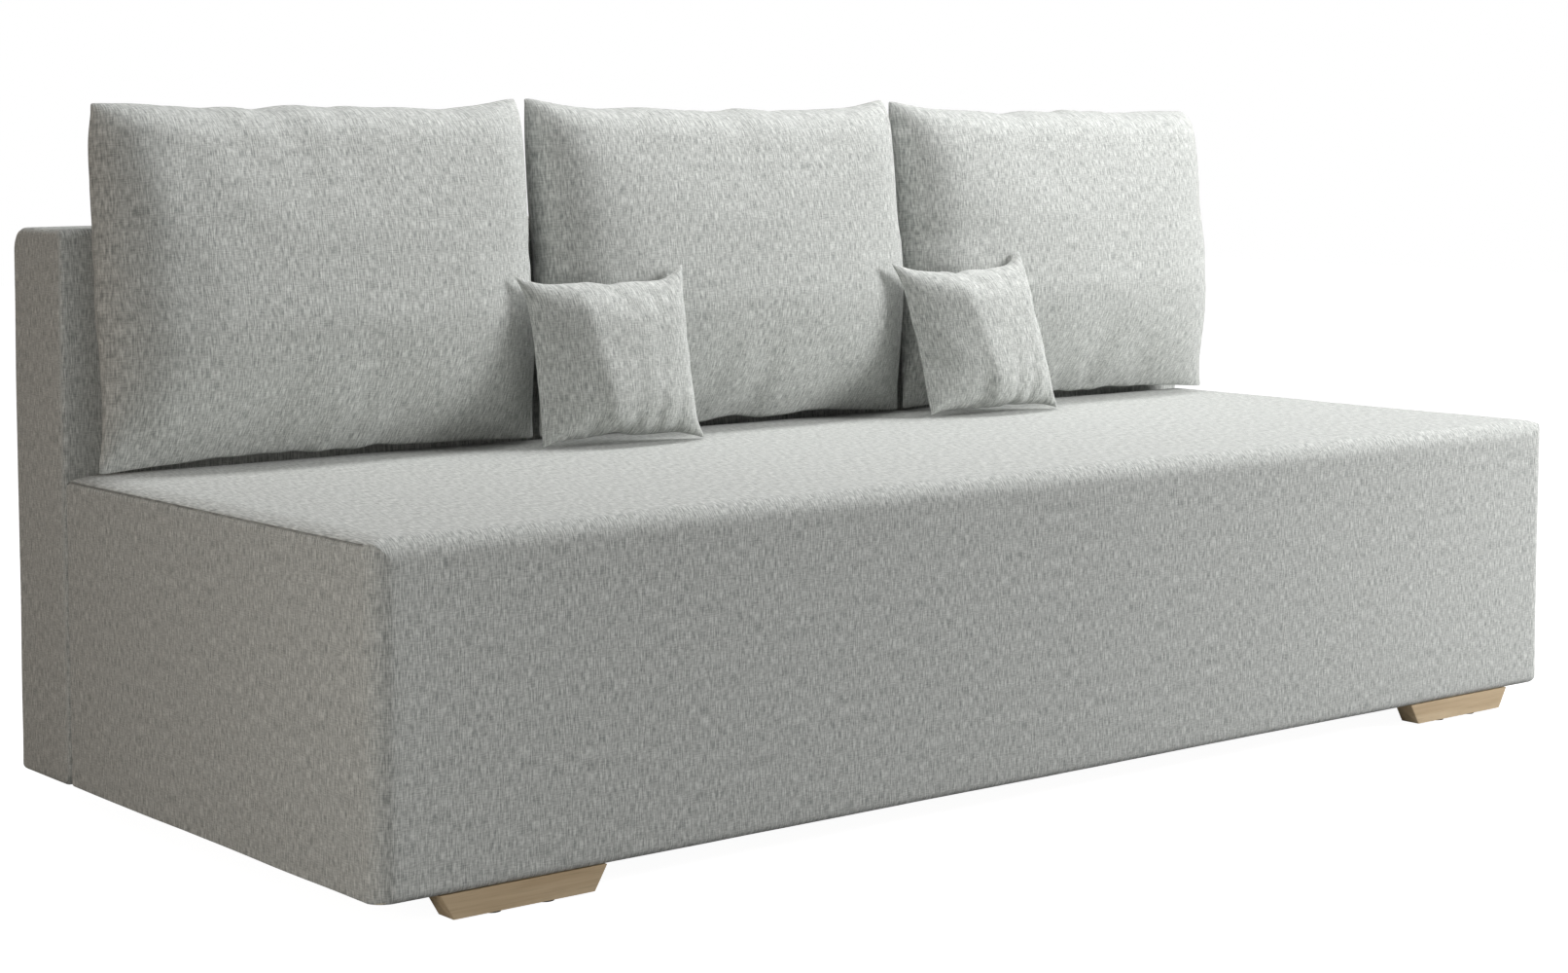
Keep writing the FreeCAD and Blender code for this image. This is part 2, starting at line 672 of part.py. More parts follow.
def pivot_mounts():
    plate = block("pivot_plate", ("chest_outer_x", "chest_outer_x + plate_thickness"),
                  pivot_plate_y, pivot_plate_z)
    bush_hole = rod("plate_bush_hole", "bush_radius + running_clearance",
                    ("chest_outer_x", "pivot_y", "pivot_height"), "plate_thickness", "x")
    holes = screw_holes("plate_screw_hole", pivot_screw_spots, "chest_outer_x", "plate_thickness")
    node(pair("pivot_plates", cut("pivot_plate_right", plate, [bush_hole] + holes)))
    length = "board_thickness + plate_thickness + bush_overhang"
    ring = rod("bush_ring", "bush_radius", ("chest_inner_x", "pivot_y", "pivot_height"), length, "x")
    bore = rod("bush_bore", "torsion_tube_radius + running_clearance",
               ("chest_inner_x", "pivot_y", "pivot_height"), length, "x")
    node(pair("pivot_bushes", cut("pivot_bush_right", ring, [bore])))
    face = value("chest_outer_x") + value("plate_thickness")
    node(feature("pivot_plate_screws", screw_shapes(face, pivot_screw_spots)))


# Swing arms: two flat steel arms welded to one torsion tube

def link_plate(start, end, width, hub_start, hub_end, low_x, thickness):
    """A flat bar between two points of the side plane, with a round hub on each."""
    span = end.sub(start)
    length = span.Length
    bar = Part.makeBox(thickness, length, width, Vector(0, 0, -width / 2))
    turn = math.degrees(math.atan2(span.z, span.y))
    bar.Placement = Placement(Vector(low_x, start.y, start.z), Rotation(Vector(1, 0, 0), turn))
    hubs = [Part.makeCylinder(radius, thickness, Vector(low_x, spot.y, spot.z), Vector(1, 0, 0))
            for spot, radius in ((start, hub_start), (end, hub_end))]
    return bar.fuse(hubs).removeSplitter()


def hinge_points():
    pivot = Vector(0, value("pivot_y"), value("pivot_height"))
    link = Vector(0, value("link_y"), value("link_z"))
    return pivot, link


def swing_arms():
    pivot, link = hinge_points()
    hub = value("arm_hub_radius")
    inner = value("arm_inner_x")
    thickness = value("arm_thickness")
    plate = link_plate(pivot, link, value("arm_width"), hub, hub, inner, thickness)
    bore = Part.makeCylinder(value("hinge_stud_radius") + value("running_clearance"), thickness,
                             Vector(inner, link.y, link.z), Vector(1, 0, 0))
    node(pair("swing_arms", feature("swing_arm_right", plate.cut(bore))))
    start = ("-arm_inner_x", "pivot_y", "pivot_height")
    outer = rod("torsion_tube_outer", "torsion_tube_radius", start, "2 * arm_inner_x", "x")
    bore = rod("torsion_tube_bore", "torsion_tube_radius - torsion_tube_wall", start, "2 * arm_inner_x", "x")
    node(cut("torsion_tube", outer, [bore]))


# Seat: boards, bed frame, springs, padding and covers

def seat_boards():
    between = both_ways("bay_outer_x")
    board_y = ("front_board_y", "front_rail_y")
    plinth_z = ("seat_base_z", "seat_base_z + board_thickness")
    node(block("seat_front_board", between, board_y, (plinth_z[1], "frame_top_z")))
    side = block("seat_side_board", ("bay_outer_x", "side_board_x"), ("front_board_y", "rear_rail_y"),
                 ("seat_base_z", "frame_top_z"))
    node(pair("seat_side_boards", side))
    plinth = block("seat_plinth_board", between, ("front_board_y", "front_board_y + plinth_depth"), plinth_z)
    holes = []
    for side in (-1, 1):
        for end in (-1, 1):
            x = f"{side} * foot_centre_x + {end} * foot_screw_offset"
            holes.append(rod(f"plinth_hole_{side + 2}_{end + 2}", "foot_screw_radius + running_clearance",
                             (x, "foot_y + foot_thickness / 2", "seat_base_z"), "foot_screw_bite", "z"))
    node(cut("seat_plinth", plinth, holes))
    size = value("corner_block_size")
    low = value("seat_base_z") + value("board_thickness")
    triangle = outline(Vector(value("bay_outer_x"), value("front_rail_y"), low),
                       [Vector(value("bay_outer_x"), value("front_rail_y") + size, low)],
                       [Vector(value("bay_outer_x") - size, value("front_rail_y"), low)])
    wedge = Part.Face(triangle).extrude(Vector(0, 0, value("frame_level") - low))
    node(pair("seat_corner_blocks", feature("seat_corner_block", wedge)))


def seat_frame():
    level = ("frame_level", "frame_top_z")
    between = both_ways("bay_outer_x")
    front = ("front_rail_y", "front_rail_y + rail_width")
    rear = ("rear_rail_y - rail_width", "rear_rail_y")
    node(group("seat_end_rails", [
        block("seat_front_rail", between, front, level),
        block("seat_rear_rail", between, rear, level),
    ]))
    side = block("seat_side_rail", ("bay_outer_x - rail_width", "bay_outer_x"), (front[1], rear[0]), level)
    node(pair("seat_side_rails", side))
    cross = block("seat_cross_rail", around("cross_rail_offset", "rail_width"), (front[1], rear[0]), level)
    node(pair("seat_cross_rails", cross))
    slider = block("seat_slider", ("chest_outer_x + slider_clearance", "bay_outer_x"),
                   ("seat_rear_y - slider_setback - slider_length", "seat_rear_y - slider_setback"),
                   ("runner_level + soft_gap", "runner_level + soft_gap + slider_height"))
    node(pair("seat_sliders", slider))


def seat_springing():
    front = value("front_rail_y") + value("rail_width") / 2
    rear = value("rear_rail_y") - value("rail_width") / 2
    level = value("frame_top_z")
    wire_z = level + value("spring_lift") + value("spring_wire_radius")
    spring = zigzag(rear - front)
    clip = spring_clip()
    springs = [spring.translated(Vector(x, front, wire_z)) for x in spring_rows()]
    clips = [clip.translated(Vector(x, y, level)) for x in spring_rows() for y in (front, rear)]
    node(feature("seat_springs", Part.makeCompound(springs)))
    node(feature("seat_spring_clips", Part.makeCompound(clips)))
    node(block("seat_felt", both_ways("side_board_x - soft_gap"), ("front_board_y", "rear_rail_y"),
               ("seat_felt_z", "seat_felt_z + felt_thickness")))


def seat_padding():
    core = seat_form(value("skin"))
    half = value("half_width")
    front = value("front_y")
    rear = value("seat_rear_y")
    base = value("foot_height")
    top = value("seat_felt_z") + value("felt_thickness")
    gap = value("soft_gap")
    above = value("seat_shoulder_z") + value("seat_crown")
    foam_region = region((-half, front, value("seat_foam_z")), (half, rear, above))
    node(feature("seat_foam", core.common(foam_region)))
    front_region = region((-half, front, base), (half, value("front_board_y") - gap, top))
    node(feature("seat_front_pad", core.common(front_region)))
    side_region = region((value("side_board_x") + gap, value("front_board_y"), base), (half, rear, top))
    node(pair("seat_side_pads", feature("seat_side_pad", core.common(side_region))))


def seat_covers():
    """One shell parted at its seams into band, two side covers and a rear cover."""
    cover = value("cover_thickness")
    half = value("half_width")
    front = value("front_y")
    rear = value("seat_rear_y")
    base = value("foot_height")
    seam_z = value("seat_height")
    seam_y = front + value("seat_corner_radius")
    hem = value("hem_width")
    opening_z = value("frame_level") - value("opening_drop")
    panel_top = seam_z - value("seat_rear_radius")
    shell = seat_form(0).cut(seat_form(cover))
    under = region((hem - half, front + hem, base - OVER), (half - hem, rear + OVER, base + cover + OVER))
    behind = region((cover - half, rear - cover - OVER, base - OVER), (half - cover, rear + OVER, opening_z))
    shell = shell.cut([under, behind])
    side_wall = region((half - cover, seam_y, base), (half, rear, seam_z))
    side_hem = region((half - hem, seam_y, base), (half, rear, base + cover))
    side_right = side_wall.fuse(side_hem)
    side_left = side_right.mirror(Vector(), Vector(1, 0, 0))
    rear_panel = region((cover - half, rear - cover, opening_z), (half - cover, rear, panel_top))
    holes = [Part.makeCylinder(value("foot_screw_radius") + value("running_clearance"), 3 * cover,
                               Vector(x, y, base - cover)) for x, y in foot_screw_spots()]
    band = shell.cut([side_right, side_left, rear_panel] + holes)
    node(feature("seat_band_cover", band))
    node(feature("seat_side_cover_left", shell.common(side_left)))
    node(feature("seat_side_cover_right", shell.common(side_right)))
    node(feature("seat_rear_cover", shell.common(rear_panel)))


def foot_screw_spots():
    y = value("foot_y") + value("foot_thickness") / 2
    return [(side * value("foot_centre_x") + end * value("foot_screw_offset"), y)
            for side in (-1, 1) for end in (-1, 1)]


def foot_body(name, sign):
    """A trapezoid foot, longer at the top, padded to its thickness."""
    body = doc.addObject("PartDesign::Body", name + "_wood")
    sketch = body.newObject("Sketcher::SketchObject", name + "_outline")
    plane = next(item for item in body.Origin.OriginFeatures if item.Role == "XZ_Plane")
    sketch.AttachmentSupport = [(plane, "")]
    sketch.MapMode = "FlatFace"
    centre = f"{sign} * foot_centre_x"
    corners = [
        (f"{centre} - foot_length / 2 + foot_slant", "glide_height"),
        (f"{centre} + foot_length / 2 - foot_slant", "glide_height"),
        (f"{centre} + foot_length / 2", "foot_height"),
        (f"{centre} - foot_length / 2", "foot_height"),
    ]
    points = [Vector(number(x), number(z), 0) for x, z in corners]
    for index in range(4):
        sketch.addGeometry(Part.LineSegment(points[index], points[(index + 1) % 4]), False)
    for index in range(4):
        sketch.addConstraint(Sketcher.Constraint("Coincident", index, 2, (index + 1) % 4, 1))
    for index, formulas in enumerate(corners):
        starts = (points[index].x, points[index].y)
        for kind, formula, start in zip(("DistanceX", "DistanceY"), formulas, starts):
            limit = sketch.addConstraint(Sketcher.Constraint(kind, -1, 1, index, 1, start))
            sketch.setExpression(f"Constraints[{limit}]", qualified(formula))
    pad = body.newObject("PartDesign::Pad", name + "_pad")
    pad.Profile = sketch
    pad.Reversed = True
    bind(pad, "Length", "foot_thickness")
    bind(body, "Placement.Base.y", "foot_y")
    return body


def front_feet():
    screw_y = "foot_y + foot_thickness / 2"
    glides = []
    for side, sign in (("left", -1), ("right", 1)):
        body = foot_body(f"front_foot_{side}", sign)
        holes = []
        for end in (-1, 1):
            x = f"{sign} * foot_centre_x + {end} * foot_screw_offset"
            holes.append(rod(f"foot_hole_{side}_{end + 2}", "foot_screw_radius + running_clearance",
                             (x, screw_y, "glide_height"), "foot_height", "z"))
            holes.append(rod(f"foot_recess_{side}_{end + 2}", "foot_screw_head_radius + running_clearance",
                             (x, screw_y, "glide_height"), "foot_screw_recess", "z"))
            glide_x = f"{sign} * foot_centre_x + {end} * glide_offset"
            glides.append(rod(f"glide_{side}_{end + 2}", "glide_radius", (glide_x, screw_y, "0"),
                              "glide_height", "z"))
        fused = doc.addObject("Part::MultiFuse", f"foot_holes_{side}")
        fused.Shapes = holes
        node(cut(f"front_foot_{side}", body, [fused]))
    node(group("foot_glides", glides))
    head_height = value("foot_screw_head_height")
    low = value("glide_height") + value("foot_screw_recess") - head_height
    tip = value("seat_base_z") + value("foot_screw_bite") - value("screw_tip_gap")
    screws = []
    for x, y in foot_screw_spots():
        head = Part.makeCylinder(value("foot_screw_head_radius"), head_height, Vector(x, y, low))
        shank = Part.makeCylinder(value("foot_screw_radius"), tip - low, Vector(x, y, low))
        screws.append(head.fuse(shank).removeSplitter())
    node(feature("foot_screws", Part.makeCompound(screws)))


# Back: frame, springs, padding, cover and hinge brackets

bracket_screw_spots = [
    ("back_frame_rear_y - bracket_setback - bracket_width / 2", f"link_z + {rise}")
    for rise in ("bracket_screw_inset", "bracket_height / 2", "bracket_height - bracket_screw_inset")
]


def back_frame():
    core = feature("back_core", back_form(value("skin")))
    depth = ("back_frame_y", "back_frame_rear_y")
    full = ("back_core_z", "back_core_top_z")
    inside = both_ways("stile_inner_x")
    bottom = block("back_bottom_rail_stock", inside, depth,
                   ("back_core_z", "back_core_z + back_rail_height"))
    top = block("back_top_rail_stock", inside, depth,
                ("back_core_top_z - back_rail_height", "back_core_top_z"))
    node(group("back_rails", [
        within("back_bottom_rail", bottom, core),
        within("back_top_rail", top, core),
    ]))
    stock = block("back_stile_stock", ("stile_inner_x", "bay_outer_x"), depth, full)
    bay = block("back_stile_bay", ("bracket_inner_x", "bay_outer_x"), depth,
                ("back_core_z", "back_bay_z"))
    holes = screw_holes("stile_screw_hole", bracket_screw_spots, "bracket_inner_x - plate_screw_length",
                        "plate_screw_length")
    stile = within("back_side_stile", cut("back_stile_notched", stock, [bay] + holes), core)
    middle = block("back_middle_stile", around("0", "rail_width"), depth,
                   ("back_core_z + back_rail_height", "back_core_top_z - back_rail_height"))
    node(group("back_stiles", [stile, mirrored("back_left_stile", stile), middle]))
    side = block("back_side_board_stock", ("bay_outer_x", "side_board_x"),
                  ("back_pad_y + soft_gap", "back_frame_rear_y"), full)
    node(pair("back_side_boards", within("back_side_board", side, core)))


def hinge_brackets():
    pivot, link = hinge_points()
    inner = value("bracket_inner_x")
    thickness = value("plate_thickness")
    rear = value("back_frame_rear_y") - value("bracket_setback")
    width = value("bracket_width")
    leaf = region((inner, rear - width, link.z), (inner + thickness, rear, link.z + value("bracket_height")))
    hub = value("bracket_hub_radius")
    root = Vector(0, rear - width / 2, link.z + hub)
    tongue = link_plate(root, link, 2 * hub, hub, hub, inner, thickness)
    outward = Vector(1, 0, 0)
    head_x = value("arm_outer_x") + value("soft_gap")
    stud_start = Vector(inner, link.y, link.z)
    stud = Part.makeCylinder(value("hinge_stud_radius"), head_x - inner, stud_start, outward)
    head = Part.makeCylinder(value("hinge_stud_head_radius"), value("hinge_stud_head_height"),
                             Vector(head_x, link.y, link.z), outward)
    plate = leaf.fuse([tongue, stud, head]).removeSplitter()
    hole_radius = value("plate_screw_radius") + value("running_clearance")
    holes = [Part.makeCylinder(hole_radius, thickness, Vector(inner, number(y), number(z)), outward)
             for y, z in bracket_screw_spots]
    node(pair("back_hinge_brackets", feature("back_hinge_bracket", plate.cut(holes))))
    node(feature("back_bracket_screws", screw_shapes(inner + thickness, bracket_screw_spots)))


def back_springing():
    bottom = value("back_core_z") + value("back_rail_height") / 2
    top = value("back_core_top_z") - value("back_rail_height") / 2
    face = value("back_frame_y")
    wire_y = face - value("spring_lift") - value("spring_wire_radius")
    upright = Placement(Vector(), Rotation(Vector(1, 0, 0), 90))
    spring = zigzag(top - bottom)
    clip = spring_clip()
    springs = []
    clips = []
    for x in spring_rows():
        copy = spring.copy()
        copy.Placement = Placement(Vector(x, wire_y, bottom), upright.Rotation)
        springs.append(copy)
        for z in (bottom, top):
            copy = clip.copy()
            copy.Placement = Placement(Vector(x, face, z), upright.Rotation)
            clips.append(copy)
    node(feature("back_springs", Part.makeCompound(springs)))
    node(feature("back_spring_clips", Part.makeCompound(clips)))
    node(block("back_felt", both_ways("bracket_inner_x - soft_gap"),
               ("back_felt_y - felt_thickness", "back_felt_y"), ("back_core_z", "back_core_top_z")))


def back_padding():
    core = back_form(value("skin"))
    gap = value("soft_gap")
    bay = value("bay_outer_x") - gap
    low = value("back_core_z")
    top = value("back_core_top_z")
    pad_y = value("back_pad_y")
    foam = region((-bay, pad_y + gap, low), (bay, value("back_foam_y"), top))
    bay_cut = region((value("bracket_inner_x") - gap, pad_y, low),
                     (bay, value("back_foam_y"), value("back_bay_z")))
    foam = foam.cut([bay_cut, bay_cut.mirror(Vector(), Vector(1, 0, 0))])
    node(feature("back_foam", foam))
    half = value("half_width")
    front = value("back_front_y")
    rear = value("rear_y")
    face_pad = region((-half, front, 0), (half, pad_y, value("back_top_z")))
    top_pad = region((-half, front, top + gap), (half, rear, value("back_top_z")))
    node(feature("back_pad", core.common(face_pad.fuse(top_pad)).cut(arm_slots())))
    side = core.common(region((value("side_board_x") + gap, pad_y + gap, 0), (half, rear, top)))
    node(pair("back_side_pads", feature("back_side_pad", side)))


def arm_slots():
    """The slots in the back's padding and cover that the swing arms pass through."""
    base = value("back_lift")
    start = (value("bracket_inner_x"), value("back_front_y") - OVER, base - OVER)
    outer = value("bay_outer_x")
    slot = region(start, (outer, value("back_pad_y") + OVER, base + value("arm_slot_height")))
    foot = region(start, (outer, value("rear_y") + OVER, base + value("back_edge_radius") + OVER))
    right = slot.fuse(foot)
    return [right, right.mirror(Vector(), Vector(1, 0, 0))]


def back_covers():
    cover = value("cover_thickness")
    half = value("half_width")
    rear = value("rear_y")
    low = value("back_lift")
    top = value("back_top_z") - value("back_top_radius")
    shell = back_form(0).cut(back_form(cover))
    edge = value("back_edge_radius")
    rear_opening = region((edge - half, rear - cover - OVER, low + edge), (half - edge, rear + OVER, top))
    node(feature("back_cover", shell.cut([rear_opening] + arm_slots())))
    gap = value("soft_gap")
    lining = region((edge + gap - half, rear - gap - value("lining_thickness"), low + edge + gap),
                    (half - edge - gap, rear - gap, top - gap))
    slot = region((value("bracket_inner_x"), rear - cover - OVER, low),
                  (value("bay_outer_x"), rear, value("back_bay_z")))
    node(feature("back_rear_lining", lining.cut([slot, slot.mirror(Vector(), Vector(1, 0, 0))])))


# Loose pieces on the seat

def stuffed_sizes(kind):
    keys = ("width", "height", "front", "rear", "edge", "dip", "draw")
    return {key: value(f"{kind}_{key}") for key in keys}


def loose_cushions():
    sizes = stuffed_sizes("cushion")
    for index, name in ((-1, "left_cushion"), (0, "middle_cushion"), (1, "right_cushion")):
        x = value("cushion_shift") + index * value("cushion_pitch")
        stuffed(name, sizes, x, "cushion_setback", "cushion_lean")


def throw_pillows():
    sizes = stuffed_sizes("pillow")
    stuffed("left_pillow", sizes, -value("left_pillow_shift"), "pillow_setback", "pillow_lean",
            turn=value("left_pillow_turn"), slump=value("left_pillow_slump"))
    stuffed("right_pillow", sizes, value("right_pillow_shift"), "pillow_setback", "pillow_lean",
            slump=value("right_pillow_slump"))


def check_document():
    """Every object recomputed cleanly and every sub-part a valid shape of solids."""
    for item in doc.Objects:
        if "Invalid" in item.State or "Error" in item.State:
            raise RuntimeError(f"{item.Label} failed to recompute: {item.State}")
    for piece in nodes:
        shape = piece.Shape
        if shape.isNull() or not shape.isValid() or not shape.Solids:
            raise RuntimeError(f"{piece.Label} has no valid solid")


def write_parts():
    os.makedirs("parts", exist_ok=True)
    for piece in nodes:
        piece.Shape.exportStep(f"parts/{piece.Label}.step")


chest_boards()
chest_inside()
chest_runners()
pivot_mounts()
swing_arms()
seat_boards()
seat_frame()
seat_springing()
seat_padding()
seat_covers()
front_feet()
back_frame()
hinge_brackets()
back_springing()
back_padding()
back_covers()
loose_cushions()
throw_pillows()
doc.recompute()
check_document()
write_parts()
print(len(nodes), "sub-parts written")
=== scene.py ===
import json
import math

import bmesh
import bpy
import numpy as np
from mathutils import Matrix, Vector, noise


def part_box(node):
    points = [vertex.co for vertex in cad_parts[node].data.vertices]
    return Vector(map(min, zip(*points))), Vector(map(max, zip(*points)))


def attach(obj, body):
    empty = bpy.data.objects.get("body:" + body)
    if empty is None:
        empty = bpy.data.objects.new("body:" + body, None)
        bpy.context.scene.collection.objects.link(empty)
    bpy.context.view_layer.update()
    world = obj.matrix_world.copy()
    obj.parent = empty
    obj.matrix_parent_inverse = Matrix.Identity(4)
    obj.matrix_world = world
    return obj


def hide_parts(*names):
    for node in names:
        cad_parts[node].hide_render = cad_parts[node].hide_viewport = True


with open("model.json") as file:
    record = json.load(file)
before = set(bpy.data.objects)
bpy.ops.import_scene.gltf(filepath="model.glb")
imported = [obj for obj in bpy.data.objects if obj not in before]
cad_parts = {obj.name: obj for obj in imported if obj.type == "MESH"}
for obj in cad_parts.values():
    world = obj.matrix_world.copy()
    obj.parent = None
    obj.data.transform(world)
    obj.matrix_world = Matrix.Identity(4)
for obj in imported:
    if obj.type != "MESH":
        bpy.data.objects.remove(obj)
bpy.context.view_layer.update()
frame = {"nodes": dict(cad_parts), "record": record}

# Metres, in the row frame: X is the width, the front looks along -Y, Z is up.
SEAT_LOW, SEAT_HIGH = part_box("seat_band_cover")
BACK_LOW, BACK_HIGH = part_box("back_cover")
REAR_PANEL_LOW, REAR_PANEL_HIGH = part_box("seat_rear_cover")
SIDE_PANEL_LOW, SIDE_PANEL_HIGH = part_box("seat_side_cover_right")
LINING_LOW, LINING_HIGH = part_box("back_rear_lining")

CLOTH = 0.0018
LINING = 0.0012
GRID = 0.008

# The seat's outline, as the frame has it: radii of its edges, hems and corners, and its shoulder.
SHOULDER_RISE = 0.0082
SHOULDER_WIDTH = 0.038
SEAT_CROWN = 0.0020
SHOULDER_Z = SIDE_PANEL_HIGH.z + SHOULDER_RISE
SHOULDER_SOFTNESS = 0.004
FRONT_EDGE = 0.028
REAR_EDGE = 0.022
FRONT_HEM = 0.010
SIDE_HEM = 0.004
FRONT_CORNER = 0.026
REAR_CORNER = 0.003
HEM_WIDTH = 0.028

# The seat's seams: a groove between two slight ridges, puckered by the stitches.
GROOVE_DEPTH = 0.0020
GROOVE_WIDTH = 0.0018
RIDGE_HEIGHT = 0.0007
RIDGE_PLACE = 0.009
RIDGE_WIDTH = 0.006
PUCKER_DEPTH = 0.0005
PUCKER_PITCH = 0.014
PUCKER_REACH = 0.018
# Painted shade: a dark line painted into the fabric's colour along each seam's groove, with its width
# and how dark it is.
PAINTED_SEAM_SHADE_WIDTH = 0.0013
PAINTED_SEAM_SHADE = 0.6

# How far the stretched covers are out of true, over wide and narrow swells: depth and breadth.
SEAT_SWELLS = ((0.0009, 0.22, 11), (0.0003, 0.07, 17))
BACK_SWELLS = ((0.0012, 0.25, 23), (0.0004, 0.08, 29))

# The back's section: radii of its corners, and where the hinge bays are cut out of its cover.
BACK_RADII = (0.015, 0.008, 0.030, 0.010)
BACK_EDGE = 0.008
BACK_CROWN = 0.0012
BAY_INNER = 0.948
BAY_OUTER = 0.970
BAY_FRONT_TOP = 0.044
BAY_FOOT = 0.009
BAY_LINING_TOP = 0.154


# Materials

class Tree:
    """The nodes of one material, added a call at a time."""

    def __init__(self, name, **surface):
        self.material = bpy.data.materials.new(name)
        self.material.use_nodes = True
        self.nodes = self.material.node_tree.nodes
        self.surface = self.nodes["Principled BSDF"]
        for socket, setting in surface.items():
            self.surface.inputs[socket.replace("_", " ")].default_value = setting

    def link(self, source, target):
        self.material.node_tree.links.new(source, target)

    def vector(self, attribute, scale):
        """A point attribute in metres, or without one the place in the row frame, scaled."""
        if attribute:
            source = self.nodes.new("ShaderNodeAttribute")
            source.attribute_name = attribute
            start = source.outputs["Vector"]
        else:
            start = self.nodes.new("ShaderNodeTexCoord").outputs["Object"]
        mapping = self.nodes.new("ShaderNodeMapping")
        mapping.inputs["Scale"].default_value = scale
        self.link(start, mapping.inputs["Vector"])
        return mapping.outputs["Vector"]

    def painted_shade(self, attribute):
        """The third number of a point attribute: in the weave, how much painted shade darkens a seam's
        groove.
        """
        source = self.nodes.new("ShaderNodeAttribute")
        source.attribute_name = attribute
        split = self.nodes.new("ShaderNodeSeparateXYZ")
        self.link(source.outputs["Vector"], split.inputs["Vector"])
        return split.outputs["Z"]

    def noise(self, vector, detail=2.0, roughness=0.5, distortion=0.0):
        texture = self.nodes.new("ShaderNodeTexNoise")
        texture.inputs["Scale"].default_value = 1.0
        texture.inputs["Detail"].default_value = detail
        texture.inputs["Roughness"].default_value = roughness
        texture.inputs["Distortion"].default_value = distortion
        self.link(vector, texture.inputs["Vector"])
        return texture.outputs["Fac"]

    def spread(self, source, low, high, start=0.0, end=1.0):
        """A value stretched from low..high to start..end, and held there."""
        node = self.nodes.new("ShaderNodeMapRange")
        node.inputs["From Min"].default_value = low
        node.inputs["From Max"].default_value = high
        node.inputs["To Min"].default_value = start
        node.inputs["To Max"].default_value = end
        self.link(source, node.inputs["Value"])
        return node.outputs["Result"]

    def math(self, operation, first, second):
        node = self.nodes.new("ShaderNodeMath")
        node.operation = operation
        for socket, source in zip(node.inputs, (first, second)):
            if isinstance(source, (int, float)):
                socket.default_value = source
            else:
                self.link(source, socket)
        return node.outputs["Value"]

    def mix(self, factor, first, second):
        node = self.nodes.new("ShaderNodeMix")
        node.data_type = "RGBA"
        if isinstance(factor, (int, float)):
            node.inputs["Factor"].default_value = factor
        else:
            self.link(factor, node.inputs["Factor"])
        for socket, source in ((node.inputs[6], first), (node.inputs[7], second)):
            if isinstance(source, tuple):
                socket.default_value = (*source, 1)
            else:
                self.link(source, socket)
        return node.outputs[2]

    def colour(self, source):
        self.link(source, self.surface.inputs["Base Color"])

    def bump(self, height, distance, strength=1.0):
        node = self.nodes.new("ShaderNodeBump")
        node.inputs["Distance"].default_value = distance
        node.inputs["Strength"].default_value = strength
        self.link(height, node.inputs["Height"])
        self.link(node.outputs["Normal"], self.surface.inputs["Normal"])


def melange():
    """Light grey flat weave: uneven light and dark yarns along V, fine picks across, and painted shade
    in the seams' grooves.
    """
    tree = Tree("melange_fabric", Roughness=0.92, Sheen_Weight=0.12, Sheen_Roughness=0.5)
    tree.surface.inputs["Specular IOR Level"].default_value = 0.25
    yarn = tree.noise(tree.vector("weave", (640, 70, 0)), detail=2.0)
    weft = tree.noise(tree.vector("weave", (110, 760, 0)), detail=2.0)
    patch = tree.noise(tree.vector("weave", (210, 120, 0)), detail=2.0, roughness=0.6)
    woven = tree.math("ADD", tree.math("MULTIPLY", yarn, 0.58), tree.math("MULTIPLY", weft, 0.28))
    woven = tree.math("ADD", woven, tree.math("MULTIPLY", patch, 0.14))
    tone = tree.mix(tree.spread(woven, 0.38, 0.62), (0.30, 0.312, 0.302), (0.72, 0.733, 0.705))
    # Painted shade: the colour is darkened toward near black along the seams' grooves.
    tree.colour(tree.mix(tree.painted_shade("weave"), tone, (0.10, 0.105, 0.10)))
    tree.bump(woven, 0.0006, 0.5)
    return tree.material


def grained_wood(name, pale, dark, along, fine=900, coarse=30):
    """Wood whose grain runs along one axis of the row frame."""
    tree = Tree(name, Roughness=0.45)
    stretch = [coarse / 14 if axis == along else coarse for axis in "xyz"]
    fibres = [fine / 40 if axis == along else fine for axis in "xyz"]
    figure = tree.noise(tree.vector(None, stretch), detail=4.0, roughness=0.6, distortion=1.2)
    pores = tree.noise(tree.vector(None, fibres), detail=2.0)
    tone = tree.mix(tree.spread(figure, 0.38, 0.64), pale, dark)
    deep = tuple(part * 0.6 for part in dark)
    tone = tree.mix(tree.spread(pores, 0.56, 0.74, 0.0, 0.35), tone, deep)
    tree.colour(tone)
    tree.bump(pores, 0.0002, 0.35)
    return tree.material


def pressed_board(name, pale, dark, scale):
    """Raw board of pressed chips or fibres."""
    tree = Tree(name, Roughness=0.8)
    chips = tree.noise(tree.vector(None, (scale, scale, scale)), detail=3.0, roughness=0.7)
    tree.colour(tree.mix(tree.spread(chips, 0.35, 0.65), dark, pale))
    tree.bump(chips, 0.0003, 0.4)
    return tree.material


def speckled(name, first, second, scale, roughness, metallic=0.0, depth=0.0001):
    """A nearly even finish: plastic, rubber, coated or bare metal, foam or felt."""
    tree = Tree(name, Roughness=roughness, Metallic=metallic)
    grain = tree.noise(tree.vector(None, (scale, scale, scale)), detail=3.0, roughness=0.6)
    tree.colour(tree.mix(tree.spread(grain, 0.35, 0.65), first, second))
    tree.bump(grain, depth, 0.5)
    return tree.material


